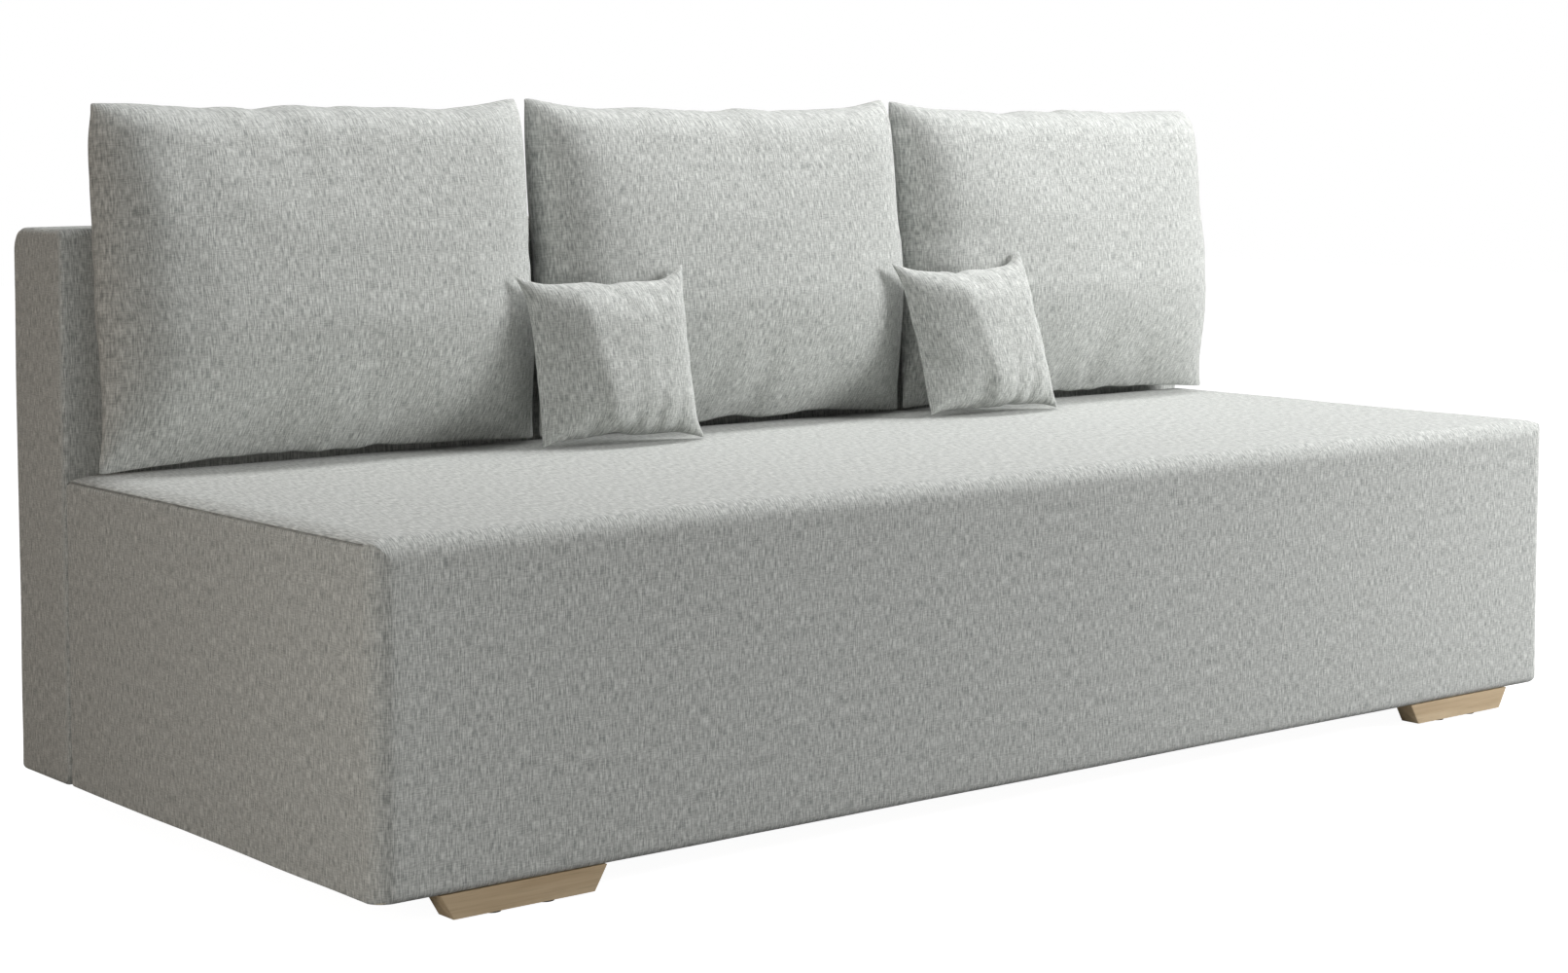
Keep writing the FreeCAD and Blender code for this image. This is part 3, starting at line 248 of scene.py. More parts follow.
# Slot, its two colours, grain per metre, roughness, metallic and the grain's depth
SPECKLED = (
    ("lining_cloth", (0.028, 0.028, 0.030), (0.055, 0.055, 0.058), 700, 0.9, 0.0, 0.0003),
    ("felt", (0.24, 0.22, 0.20), (0.40, 0.38, 0.35), 500, 0.95, 0.0, 0.0006),
    ("glide_felt", (0.05, 0.045, 0.04), (0.10, 0.09, 0.085), 800, 0.95, 0.0, 0.0005),
    ("foam", (0.72, 0.66, 0.48), (0.82, 0.77, 0.60), 600, 0.9, 0.0, 0.0005),
    ("filling_fibre", (0.80, 0.80, 0.78), (0.9, 0.9, 0.88), 90, 0.95, 0.0, 0.002),
    ("black_plastic", (0.018, 0.018, 0.018), (0.030, 0.030, 0.030), 900, 0.45),
    ("bush_plastic", (0.028, 0.028, 0.030), (0.045, 0.045, 0.047), 900, 0.4),
    ("slider_plastic", (0.66, 0.66, 0.63), (0.74, 0.74, 0.71), 900, 0.35),
    ("clip_plastic", (0.58, 0.58, 0.55), (0.66, 0.66, 0.63), 900, 0.35),
    ("buffer_rubber", (0.018, 0.018, 0.018), (0.032, 0.032, 0.032), 900, 0.8),
    ("steel_plate", (0.022, 0.022, 0.024), (0.034, 0.034, 0.036), 1200, 0.5),
    ("spring_wire", (0.22, 0.22, 0.235), (0.33, 0.33, 0.345), 500, 0.35, 1.0),
    ("zinc_screws", (0.55, 0.55, 0.52), (0.66, 0.66, 0.63), 900, 0.3, 1.0),
)
MATERIALS = {row[0]: speckled(*row) for row in SPECKLED}
MATERIALS["seat_fabric"] = melange()
MATERIALS["birch"] = grained_wood("birch", (0.66, 0.52, 0.34), (0.52, 0.385, 0.235), "x")
MATERIALS["softwood"] = grained_wood("softwood", (0.66, 0.49, 0.29), (0.47, 0.31, 0.16), "x")
MATERIALS["chipboard"] = pressed_board("chipboard", (0.56, 0.43, 0.27), (0.33, 0.23, 0.13), 220)
MATERIALS["hardboard"] = pressed_board("hardboard", (0.30, 0.19, 0.11), (0.21, 0.13, 0.07), 420)


# Mesh helpers

def make_object(name, points, faces, weave=None):
    mesh = bpy.data.meshes.new(name)
    mesh.from_pydata(np.asarray(points).tolist(), [], np.asarray(faces).tolist())
    if weave is not None:
        layer = mesh.attributes.new("weave", "FLOAT_VECTOR", "POINT")
        layer.data.foreach_set("vector", np.asarray(weave, np.float32).ravel())
    piece = bpy.data.objects.new(name, mesh)
    bpy.context.scene.collection.objects.link(piece)
    return piece


def compact(points, faces, weave):
    """Only the points that the faces use."""
    faces = np.asarray(faces)
    used, renumbered = np.unique(faces, return_inverse=True)
    return points[used], renumbered.reshape(faces.shape), weave[used]


def apply_modifiers(piece):
    graph = bpy.context.evaluated_depsgraph_get()
    mesh = bpy.data.meshes.new_from_object(piece.evaluated_get(graph), depsgraph=graph)
    piece.modifiers.clear()
    piece.data = mesh


def weld(piece, distance=0.00005):
    """Joins points that lie on each other and drops faces with no area."""
    work = bmesh.new()
    work.from_mesh(piece.data)
    bmesh.ops.remove_doubles(work, verts=work.verts, dist=distance)
    bmesh.ops.dissolve_degenerate(work, edges=work.edges, dist=distance)
    work.to_mesh(piece.data)
    work.free()


def thicken(piece, thickness=CLOTH):
    """Gives a sheet its cloth thickness, inwards."""
    solid = piece.modifiers.new("cloth", "SOLIDIFY")
    solid.thickness = thickness
    solid.offset = -1
    apply_modifiers(piece)


def smooth(piece, angle=50):
    piece.data.shade_smooth()
    piece.data.set_sharp_from_angle(angle=math.radians(angle))


def dress(piece, slot, body, *nodes):
    """Finish, slot, body and the frame's nodes that the piece stands for."""
    piece.data.materials.clear()
    piece.data.materials.append(MATERIALS[slot])
    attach(piece, body)
    if nodes:
        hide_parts(*nodes)
    return piece


def rounded_ring(low, high, radii, inset, counts, corner_steps=10):
    """Points round a rectangle with round corners, drawn in by an inset, always as many.

    The radii go from the corner at low, low round by high, low to low, high.
    """
    low = np.array(low) + inset
    high = np.array(high) - inset
    corners = (
        ((low[0], low[1]), (1, 1), 180),
        ((high[0], low[1]), (-1, 1), 270),
        ((high[0], high[1]), (-1, -1), 0),
        ((low[0], high[1]), (1, -1), 90),
    )
    arcs = []
    half = (high - low).min() / 2
    for ((u, v), (du, dv), start), radius in zip(corners, radii):
        radius = min(max(radius - inset, 0.0004), max(half, 1e-6))
        angles = np.radians(start + np.linspace(0, 90, corner_steps + 1))
        centre = (u + du * radius, v + dv * radius)
        turns = np.stack([np.cos(angles), np.sin(angles)], 1)
        arcs.append(np.array(centre) + radius * turns)
    ring = []
    for index in range(4):
        arc, following = arcs[index], arcs[(index + 1) % 4]
        ring.append(arc)
        count = counts[index % 2]
        shares = np.linspace(0, 1, count + 1)[1:-1, None]
        ring.append(arc[-1] * (1 - shares) + following[0] * shares)
    return np.concatenate(ring)


def ring_faces(first, second, count):
    """Quads between two rings of count points whose numbers start at first and second."""
    index = np.arange(count)
    following = (index + 1) % count
    return np.stack([first + index, first + following, second + following, second + index], 1)


def wobble(points, size, seed):
    """Smooth uneven numbers from about -1 to 1 at each point."""
    shift = Vector((seed, 0, 0))
    return np.array([noise.noise(Vector(point) / size + shift) for point in points])


def swells(points, rows):
    """Smooth uneven heights, summed from rows of depth, breadth and seed."""
    return sum(depth * wobble(points, breadth, seed) for depth, breadth, seed in rows)


def perimeter_of(outline):
    """The length round an outline up to each of its points."""
    lengths = np.linalg.norm(np.roll(outline, -1, 0) - outline, axis=1)
    return np.concatenate([[0], np.cumsum(lengths)[:-1]])


def skin_of(rings):
    """The points and quads of rings joined one to the next."""
    size = len(rings[0])
    links = [ring_faces(i * size, (i + 1) * size, size) for i in range(len(rings) - 1)]
    return np.concatenate(rings), np.concatenate(links)


def normals_of(points, faces):
    a, b, c, d = (points[faces[:, i]] for i in range(4))
    face_normals = np.cross(c - a, d - b)
    normals = np.zeros_like(points)
    for i in range(4):
        np.add.at(normals, faces[:, i], face_normals)
    return normals / np.maximum(np.linalg.norm(normals, axis=1, keepdims=True), 1e-12)


# Seat upholstery

def seat_height_at(x, y):
    """The top of the seat: round front and rear edges, soft shoulders and a slight crown."""
    front = y - SEAT_LOW.y
    rear = SEAT_HIGH.y - y
    middle = (SEAT_LOW.y + SEAT_HIGH.y) / 2
    half_depth = (SEAT_HIGH.y - SEAT_LOW.y) / 2
    along = SHOULDER_Z + SEAT_CROWN * (1 - ((y - middle) / half_depth) ** 2)
    for distance, edge in ((front, FRONT_EDGE), (rear, REAR_EDGE)):
        inside = np.clip(edge - distance, 0, edge)
        along -= edge - np.sqrt(edge ** 2 - inside ** 2)
    sweep = (SHOULDER_WIDTH ** 2 + SHOULDER_RISE ** 2) / (2 * SHOULDER_RISE)
    flat = SEAT_HIGH.x - SHOULDER_WIDTH
    outside = np.clip(np.abs(x) - flat, 0, SHOULDER_WIDTH)
    across = SHOULDER_Z + SEAT_CROWN * (1 - np.clip(np.abs(x) / flat, 0, 1) ** 2)
    across -= sweep - np.sqrt(sweep ** 2 - outside ** 2)
    blend = np.clip((across - along) / SHOULDER_SOFTNESS, -1, 1)
    return np.minimum(along, across) - SHOULDER_SOFTNESS / 4 * (1 - np.abs(blend)) ** 2


def seat_rings(low, high, rim_z, outline, radii, counts):
    """Rings up the seat's walls from the turned-in hem, then in over its top."""
    size = len(outline)
    bottom = SEAT_LOW.z
    front_share = np.clip(1 - (outline[:, 1] - low[1]) / FRONT_CORNER, 0, 1)
    hem = SIDE_HEM + (FRONT_HEM - SIDE_HEM) * front_share
    rings = []
    for inset in np.linspace(HEM_WIDTH, FRONT_HEM + 0.001, 4):
        flat = rounded_ring(low, high, radii, inset, counts)
        rings.append(np.column_stack([flat, np.full(size, bottom)]))
    near = rounded_ring(low, high, radii, FRONT_HEM, counts)
    for angle in np.radians(np.linspace(90, 0, 6)):
        shares = hem * (1 - math.cos(angle))
        flat = outline + (near - outline) * (shares / FRONT_HEM)[:, None]
        rings.append(np.column_stack([flat, bottom + hem * (1 - math.sin(angle))]))
    for share in np.concatenate([np.linspace(0, 0.93, 44)[1:], [0.95, 0.965, 0.978, 0.988, 0.995, 1]]):
        rings.append(np.column_stack([outline, bottom + hem + (rim_z - bottom - hem) * share]))
    wall_rings = len(rings)
    insets = list(FRONT_EDGE * (1 - np.cos(np.radians(np.linspace(0, 90, 9))[1:])))
    depth = (high[1] - low[1]) / 2
    insets += list(np.linspace(insets[-1], depth, round((depth - insets[-1]) / GRID))[1:])
    for inset in insets:
        flat = rounded_ring(low, high, radii, inset, counts)
        rings.append(np.column_stack([flat, seat_height_at(flat[:, 0], flat[:, 1])]))
    return rings, wall_rings


def seat_cover():
    """One closed skin of wall and top rings, then parted at its seams."""
    low, high = (SEAT_LOW.x, SEAT_LOW.y), (SEAT_HIGH.x, SEAT_HIGH.y)
    radii = (FRONT_CORNER, FRONT_CORNER, REAR_CORNER, REAR_CORNER)
    counts = (round((high[0] - low[0]) / GRID), round((high[1] - low[1]) / GRID))
    outline = rounded_ring(low, high, radii, 0, counts)
    rim_z = seat_height_at(outline[:, 0], outline[:, 1])
    rings, wall_rings = seat_rings(low, high, rim_z, outline, radii, counts)
    size = len(outline)
    points, faces = skin_of(rings)
    ring_index = np.repeat(np.arange(len(rings)), size)
    station = np.tile(np.arange(size), len(rings))
    on_wall = ring_index < wall_rings

    side = np.abs(outline[station, 0]) > high[0] - FRONT_CORNER
    past_corner = np.clip((outline[station, 1] - low[1]) / FRONT_CORNER, 0, 1)
    seam_share = np.where(side, past_corner ** 2, 0)
    off_seam = np.abs(points[:, 2] - rim_z[station])
    off_seam += np.where(on_wall, 0, np.abs(np.abs(points[:, 0]) - high[0]))
    along = np.zeros_like(points)
    along[:, 1] = points[:, 1]
    groove = -GROOVE_DEPTH * np.exp(-(off_seam / GROOVE_WIDTH) ** 2)
    groove += RIDGE_HEIGHT * np.exp(-((off_seam - RIDGE_PLACE) / RIDGE_WIDTH) ** 2)
    groove += PUCKER_DEPTH * wobble(along, PUCKER_PITCH, 3) * np.exp(-off_seam / PUCKER_REACH)
    raised = groove * seam_share + swells(points, SEAT_SWELLS)
    points = points + normals_of(points, faces) * raised[:, None]

    perimeter = perimeter_of(outline)
    corner_end = np.argmax(outline[:, 0] > low[0] + FRONT_CORNER - 0.00001)
    corner_length = perimeter[corner_end] - outline[corner_end, 0]
    u = np.where(on_wall, perimeter[station], points[:, 0] + corner_length)
    v = points[:, 2] + np.where(on_wall, low[1], points[:, 1])
    # Painted shade along each side seam's groove, carried as the weave's third number.
    seam_painted_shade = PAINTED_SEAM_SHADE * seam_share * np.exp(-(off_seam / PAINTED_SEAM_SHADE_WIDTH) ** 2)
    weave = np.column_stack([u, v, seam_painted_shade])

    centre = points[faces].mean(1)
    wall_face = faces[:, 2] < wall_rings * size
    rear_face = wall_face & (centre[:, 1] > high[1] - CLOTH * 2)
    turned_in = REAR_PANEL_HIGH.x - HEM_WIDTH
    rear_hem = wall_face & (centre[:, 1] > high[1] - HEM_WIDTH) & (centre[:, 2] < SEAT_LOW.z + SIDE_HEM)
    open_rear = (rear_face | rear_hem) & (np.abs(centre[:, 0]) < turned_in)
    open_rear &= centre[:, 2] < REAR_PANEL_HIGH.z
    side_face = wall_face & (np.abs(centre[:, 0]) > turned_in)
    side_face &= centre[:, 1] > low[1] + FRONT_CORNER
    side_face &= ~rear_face | (centre[:, 2] < REAR_PANEL_HIGH.z)
    for name, node, chosen, piece_seed in (
        ("seat_band", "seat_band_cover", ~side_face & ~open_rear, None),
        ("seat_side_panel_left", "seat_side_cover_left", side_face & (centre[:, 0] < 0), 7),
        ("seat_side_panel_right", "seat_side_cover_right", side_face & (centre[:, 0] > 0), 9),
    ):
        own = weave
        if piece_seed:
            own = np.column_stack([points[:, 1] + piece_seed, points[:, 2], seam_painted_shade])
        piece = make_object(name, *compact(points, faces[chosen], own))
        weld(piece)
        thicken(piece)
        smooth(piece)
        dress(piece, "seat_fabric", "seat", node)


def sheet_panel(name, low, high, body, node, holes=()):
    """A flat cloth panel in an XZ plane, slightly slack between its stapled edges."""
    step = 0.012
    columns = np.linspace(low.x, high.x, round((high.x - low.x) / step) + 1)
    rows = np.linspace(low.z, high.z, max(4, round((high.z - low.z) / step)) + 1)
    x, z = (grid.ravel() for grid in np.meshgrid(columns, rows))
    points = np.column_stack([x, np.full(len(x), high.y), z])
    edge = np.minimum.reduce([x - low.x, high.x - x, z - low.z, high.z - z])
    slack = 0.0012 * wobble(points, 0.06, 5) * np.clip(edge / 0.03, 0, 1)
    points[:, 1] -= np.abs(slack)
    count = len(columns)
    cells = np.meshgrid(np.arange(count - 1), np.arange(len(rows) - 1))
    i, j = (grid.ravel() for grid in cells)
    start = j * count + i
    faces = np.stack([start + count, start + count + 1, start + 1, start], 1)
    centre = points[faces].mean(1)
    keep = np.ones(len(faces), bool)
    for hole_low, hole_high in holes:
        inside = (centre[:, 0] > hole_low[0]) & (centre[:, 0] < hole_high[0])
        keep &= ~(inside & (centre[:, 2] > hole_low[1]) & (centre[:, 2] < hole_high[1]))
    weave = np.column_stack([x, z, np.zeros(len(x))])
    piece = make_object(name, *compact(points, faces[keep], weave))
    thicken(piece, LINING)
    smooth(piece)
    dress(piece, "lining_cloth", body, node)


# Back upholstery

def back_cover():
    """Rings round the panel's section, swept across it, with padded end faces."""
    low, high = (BACK_LOW.y, BACK_LOW.z), (BACK_HIGH.y, BACK_HIGH.z)
    half = BACK_HIGH.x
    counts = (round((high[0] - low[0]) / GRID), round((high[1] - low[1]) / GRID))
    depth = (high[0] - low[0]) / 2
    angles = np.radians(np.linspace(0, 90, 8))
    insets = list(BACK_EDGE * (1 - np.cos(angles[1:])))
    insets += list(np.linspace(insets[-1], depth, round((depth - insets[-1]) / GRID))[1:])
    end_cap = []
    for inset in reversed(insets):
        inside = max(BACK_EDGE - inset, 0)
        drop = BACK_EDGE - math.sqrt(BACK_EDGE ** 2 - inside ** 2)
        end_cap.append((-half + drop - BACK_CROWN * min(1, inset / 0.04), inset))
    stations = np.concatenate([
        np.linspace(-half + BACK_EDGE, -BAY_OUTER, 3),
        np.linspace(-BAY_OUTER, -BAY_INNER, 4)[1:],
        np.linspace(-BAY_INNER, BAY_INNER, round(2 * BAY_INNER / GRID))[1:],
        np.linspace(BAY_INNER, BAY_OUTER, 4)[1:],
        np.linspace(BAY_OUTER, half - BACK_EDGE, 3)[1:],
    ])
    sections = end_cap + [(x, 0) for x in stations] + [(-x, inset) for x, inset in reversed(end_cap)]
    rings = []
    for x, inset in sections:
        flat = rounded_ring(low, high, BACK_RADII, inset, counts)
        rings.append(np.column_stack([np.full(len(flat), x), flat]))
    points, faces = skin_of(rings)
    points = points + normals_of(points, faces) * swells(points, BACK_SWELLS)[:, None]

    size = len(rings[0])
    perimeter = perimeter_of(rounded_ring(low, high, BACK_RADII, 0, counts))
    station = np.tile(np.arange(size), len(rings))
    on_end = np.repeat(np.array([inset for x, inset in sections]) > BACK_EDGE / 2, size)
    weave = np.column_stack([
        np.where(on_end, points[:, 1] + 3, points[:, 0]),
        np.where(on_end, points[:, 2], perimeter[station]),
        np.zeros(len(points)),
    ])
    centre = points[faces].mean(1)
    in_bay = (np.abs(centre[:, 0]) > BAY_INNER) & (np.abs(centre[:, 0]) < BAY_OUTER)
    bay_front = in_bay & (centre[:, 1] < low[0] + 0.012) & (centre[:, 2] < low[1] + BAY_FRONT_TOP)
    bay_foot = in_bay & (centre[:, 2] < low[1] + BAY_FOOT)
    rear_open = (centre[:, 1] > high[0] - 0.003) & (np.abs(centre[:, 0]) < LINING_HIGH.x)
    rear_open &= (centre[:, 2] > LINING_LOW.z) & (centre[:, 2] < LINING_HIGH.z)
    keep = ~(bay_front | bay_foot | rear_open)
    piece = make_object("back_upholstery", *compact(points, faces[keep], weave))
    weld(piece)
    thicken(piece)
    smooth(piece)
    dress(piece, "seat_fabric", "back", "back_cover")


def back_lining():
    holes = [
        ((-BAY_OUTER, 0), (-BAY_INNER, BAY_LINING_TOP)),
        ((BAY_INNER, 0), (BAY_OUTER, BAY_LINING_TOP)),
    ]
    sheet_panel("back_lining", LINING_LOW, LINING_HIGH, "back", "back_rear_lining", holes)


# Loose cushions and pillows

def pillow_case(width, height, step):
    """Two flat panels sewn round their edges, standing on Z 0, with each point's place in them.

    Place is across and up, each from -1 to 1, and the side: -1 front, 1 rear, 0 on the seam.
    """
    across, up = round(width / step), round(height / step)
    numbers = {}
    places = []

    def number(i, j, side):
        on_seam = i in (0, across) or j in (0, up)
        key = (i, j, 0 if on_seam else side)
        if key not in numbers:
            numbers[key] = len(places)
            places.append((2 * i / across - 1, 2 * j / up - 1, key[2]))
        return numbers[key]

    faces = []
    for i in range(across):
        for j in range(up):
            for side in (-1, 1):
                corners = [(i, j), (i + 1, j), (i + 1, j + 1), (i, j + 1)]
                faces.append([number(*corner, side) for corner in corners[::-side]])
    places = np.array(places)
    x = places[:, 0] * width / 2
    z = (places[:, 1] + 1) * height / 2
    return np.column_stack([x, places[:, 2] * 0.003, z]), np.array(faces), places


SIM_FRAMES = 20


def inflate(points, faces, pressure):
    """The case blown up as cloth with no weight, as new points."""
    case = make_object("case", points, faces)
    cloth = case.modifiers.new("cloth", "CLOTH")
    settings = cloth.settings
    settings.quality = 6
    settings.mass = 0.3
    settings.tension_stiffness = 15
    settings.compression_stiffness = 15
    settings.shear_stiffness = 5
    settings.bending_stiffness = 0.5
    settings.air_damping = 2
    settings.use_pressure = True
    settings.uniform_pressure_force = pressure
    settings.effector_weights.gravity = 0
    cloth.point_cache.frame_start = 1
    cloth.point_cache.frame_end = SIM_FRAMES
    scene = bpy.context.scene
    for step in range(1, SIM_FRAMES + 1):
        scene.frame_set(step)
    graph = bpy.context.evaluated_depsgraph_get()
    blown = np.empty(len(points) * 3)
    case.evaluated_get(graph).data.vertices.foreach_get("co", blown)
    scene.frame_set(1)
    bpy.data.objects.remove(case)
    return blown.reshape(-1, 3)


def rounding(share):
    """A quarter round, from 0 at an edge to 1 where the share reaches 1."""
    return np.sqrt(1 - (1 - np.clip(share, 0, 1)) ** 2)


# Where up a back cushion it is thickest, from -1 at its foot to 1 at its top
FULLEST = -0.20


def cushion_swell(u, v):
    """Flat face, round flanks, fullest below the middle and curved under at the bottom."""
    across = rounding((1 - np.abs(u)) / 0.27) * (1 - 0.08 * u ** 2)
    upper = rounding((1 - v) / 0.24) * (1 - 0.16 * (v - FULLEST) / (1 - FULLEST))
    lower = 1 - np.clip((FULLEST - v) / (1 + FULLEST), 0, 1) ** 1.8
    return across * np.where(v > FULLEST, upper, lower)


def pillow_swell(u, v, ridge):
    """A ridge left of the middle: a slack slope down to the left seam, a full one to the right."""
    left = np.clip((1 + u) / (1 + ridge), 0, 1) ** 0.85
    right = rounding((1 - u) / 0.35) * (1 - 0.25 * (u - ridge) / (1 - ridge))
    top = rounding((1 - v) / 0.5)
    foot = rounding((1 + v) / 0.55)
    return np.where(u < ridge, left, right) * top * foot


def evened(along, reach):
    """The reach of a sewn edge from the middle, smoothed: a quartic in the place along it."""
    return np.polyfit(np.concatenate([along, -along]), np.concatenate([reach, reach]), 4)


def fitted(blown, places, width, height, front, rear, draw, dip):
    """The blown case drawn out to its real size, its sides drawn in a little between the ears."""
    u, v, side = places.T
    x = blown[:, 0] - (blown[:, 0].min() + blown[:, 0].max()) / 2
    z = blown[:, 2] - (blown[:, 2].min() + blown[:, 2].max()) / 2
    y = blown[:, 1]
    uprights = np.abs(u) == 1
    level = np.abs(v) == 1
    side_reach = evened(v[uprights], np.abs(x[uprights]))
    level_reach = evened(u[level], np.abs(z[level]))
    x = x * (width / 2 - draw * (1 - v ** 4)) / np.polyval(side_reach, v)
    z = z * (height / 2 - dip / 2 * (1 - u ** 4)) / np.polyval(level_reach, u)
    z = z + height / 2 - dip / 2 * (1 - u ** 4) * np.where(v < 0, -1, 1) * np.abs(v)
    swell = np.clip(np.abs(y) / np.abs(y).max(), 0, 1)
    return np.column_stack([x, side * swell * np.where(side < 0, front, rear), z])


# How uneven a case is before it is blown up, and how its ridge, ears and faces are shaped after
START_BREADTH = 0.09
START_DEPTH = 0.004
RIDGE_LEAN = 0.18
EAR_SPREAD = 0.16
FACE_BREADTH = 0.35
FACE_DEPTH = 0.0012


def bump_at(places, u, v, wide, high):
    return np.exp(-((places[:, 0] - u) / wide) ** 2 - ((places[:, 1] - v) / high) ** 2)


def pleats(places, spots):
    """Short upright folds that fade up from the bottom seam: each its place, width, reach and depth."""
    folds = np.zeros(len(places))
    for u, wide, reach, depth in spots:
        fade = np.exp(-(places[:, 1] + 1) / reach)
        folds += depth * fade * np.exp(-((places[:, 0] - u - 0.05 * (places[:, 1] + 1)) / wide) ** 2)
    return folds


def stuffed(body, name, sizes, spot, lean, step, pressure, share, turn=0, slump=0, seed=0,
            ridge=0, ears=(), folds=(), creases=()):
    """A knife-edge cushion: blown up, fitted to its size, shaped one mark at a time, leant back and set
    down.

    The share is how much of the simulation's unevenness stays, along X, Y and Z.
    """
    height = sizes["height"]
    flat, faces, places = pillow_case(sizes["width"], height, step)
    u, v, side = places.T
    uneven = wobble(np.column_stack([flat[:, 0], flat[:, 2], side]), START_BREADTH, seed)
    start = flat.copy()
    start[:, 1] += side * np.abs(uneven) * START_DEPTH
    swell = pillow_swell(u, v, ridge - RIDGE_LEAN * v) if ridge else cushion_swell(u, v)
    plain = np.column_stack([flat[:, 0], side * swell, flat[:, 2]])
    points = fitted(plain, places, **sizes)
    blown = fitted(inflate(start, faces, pressure), places, **sizes)
    points += (blown - points) * share
    inner = (1 - np.abs(u) ** 6) * (1 - np.abs(v) ** 6)
    for at_u, at_v, wide, high, depth in creases:
        points[:, 1] -= side * depth * bump_at(places, at_u, at_v, wide, high) * inner
    points[:, 1] -= side * pleats(places, folds) * (1 - np.abs(u) ** 8)
    for at_u, at_v, out, up in ears:
        pull = bump_at(places, at_u, at_v, EAR_SPREAD, EAR_SPREAD)
        points[:, 0] += out * pull
        points[:, 2] += up * pull
    slack = wobble(places + seed, FACE_BREADTH, seed)
    points[:, 1] += side * FACE_DEPTH * slack * inner
    points[:, 0] -= slump * points[:, 2] / height
    turned = Matrix.Rotation(math.radians(-turn), 3, "Z")
    tilt = turned @ Matrix.Rotation(math.radians(-lean), 3, "X")
    points = points @ np.array(tilt).T + np.array(spot)
    up = flat[:, 2] + np.where(side > 0, 5, 0)
    weave = np.column_stack([flat[:, 0] + seed, up, np.zeros(len(side))])
    piece = make_object(name, points, faces, weave)
    subdivision = piece.modifiers.new("finer", "SUBSURF")
    subdivision.levels = 1
    apply_modifiers(piece)
    smooth(piece, 75)
    dress(piece, "seat_fabric", body, body + "_cover", body + "_filling")


CUSHION = {"width": 0.662, "height": 0.468, "front": 0.102, "rear": 0.021,
           "draw": 0.003, "dip": 0.008}
PILLOW = {"width": 0.262, "height": 0.230, "front": 0.056, "rear": 0.018,
          "draw": 0.010, "dip": 0.010}

# The marks of use on each back cushion, left to right.
# An ear is its corner and how far it reaches out and up; a crease its place, spread and depth.
CUSHION_MARKS = {
    "left_cushion": {
        "ears": ((-1, 1, 0.009, -0.004), (1, 1, 0.000, 0.008), (-1, -1, -0.006, -0.002)),
        "creases": ((-0.80, 0.72, 0.10, 0.10, 0.006), (-0.66, 0.56, 0.10, 0.14, 0.004),
                    (-0.88, -0.80, 0.05, 0.10, 0.008), (0.88, 0.80, 0.08, 0.10, 0.004)),
    },
    "middle_cushion": {
        "ears": ((-1, 1, 0.004, 0.008), (1, 1, 0.002, 0.010)),
        "creases": ((-0.78, 0.78, 0.12, 0.08, 0.006), (0.86, 0.84, 0.08, 0.08, 0.006),
                    (0.90, -0.70, 0.06, 0.14, 0.004)),
    },
    "right_cushion": {
        "ears": ((-1, 1, 0.004, 0.008), (1, 1, -0.004, -0.004), (1, -1, 0.006, -0.002)),
        "creases": ((-0.80, 0.80, 0.12, 0.08, 0.006), (0.84, 0.78, 0.08, 0.10, 0.004),
                    (0.80, -0.80, 0.10, 0.08, 0.005)),
    },
}
PILLOW_MARKS = {
    "left_pillow": {
        "ears": ((-1, 1, -0.008, 0.006), (1, 1, 0.004, 0.016),
                 (1, -1, 0.010, -0.003), (-1, -1, 0.004, 0)),
        "creases": ((-0.90, -0.10, 0.10, 0.08, 0.008), (0.45, 0.74, 0.05, 0.22, 0.006),
                    (0.62, 0.80, 0.05, 0.20, 0.005), (-0.30, 0.86, 0.20, 0.06, 0.004)),
        "folds": ((-0.42, 0.10, 0.30, 0.010), (0.05, 0.06, 0.40, 0.007), (0.34, 0.05, 0.5, 0.007),
                  (0.62, 0.06, 0.45, 0.007)),
    },
    "right_pillow": {
        "ears": ((-1, 1, -0.008, 0.006), (1, 1, 0.002, 0.018),
                 (1, -1, 0.008, -0.003), (-1, -1, 0.006, 0)),
        "creases": ((-0.90, 0.05, 0.10, 0.10, 0.007), (0.40, 0.80, 0.06, 0.16, 0.006),
                    (-0.35, 0.84, 0.22, 0.06, 0.005)),
        "folds": ((-0.30, 0.10, 0.30, 0.010), (0.20, 0.06, 0.45, 0.008), (0.48, 0.05, 0.5, 0.007),
                  (0.74, 0.06, 0.4, 0.006)),
    },
}


# The left cushion is narrower on both sides by this much and sits that much further right.
LEFT_CUSHION_SHIFT = 0.009
CUSHION_SEAM_Y = 0.251
PILLOW_SEAM_Y = 0.141

# Body, middle in X, turn and lean to the side of each pillow, and where its ridge lies
PILLOW_POSES = (
    ("left_pillow", -0.265, 3.5, 0.012, -0.34),
    ("right_pillow", 0.425, 0, 0.046, -0.22),
)


def loose_pieces():
    for seed, (body, marks) in enumerate(CUSHION_MARKS.items(), start=20):
        low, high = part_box(body + "_cover")
        shift = LEFT_CUSHION_SHIFT if body == "left_cushion" else 0
        spot = ((low.x + high.x) / 2 + shift, CUSHION_SEAM_Y, low.z)
        sizes = {**CUSHION, "width": CUSHION["width"] - abs(shift) * 2}
        stuffed(body, body.replace("_cushion", "_back_cushion"), sizes, spot, lean=5, step=0.0115,
                pressure=6, share=(0.12, 0.28, 0.12), seed=seed, **marks)
    for seed, (body, x, turn, slump, ridge) in enumerate(PILLOW_POSES, start=50):
        spot = (x, PILLOW_SEAM_Y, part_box(body + "_cover")[0].z)
        stuffed(body, body.replace("_pillow", "_throw_pillow"), PILLOW, spot, lean=7, step=0.0075,
                pressure=9, share=(0.25, 0.30, 0.25), turn=turn, slump=slump, seed=seed,
                ridge=ridge, **PILLOW_MARKS[body])


# Frame pieces that keep their shape

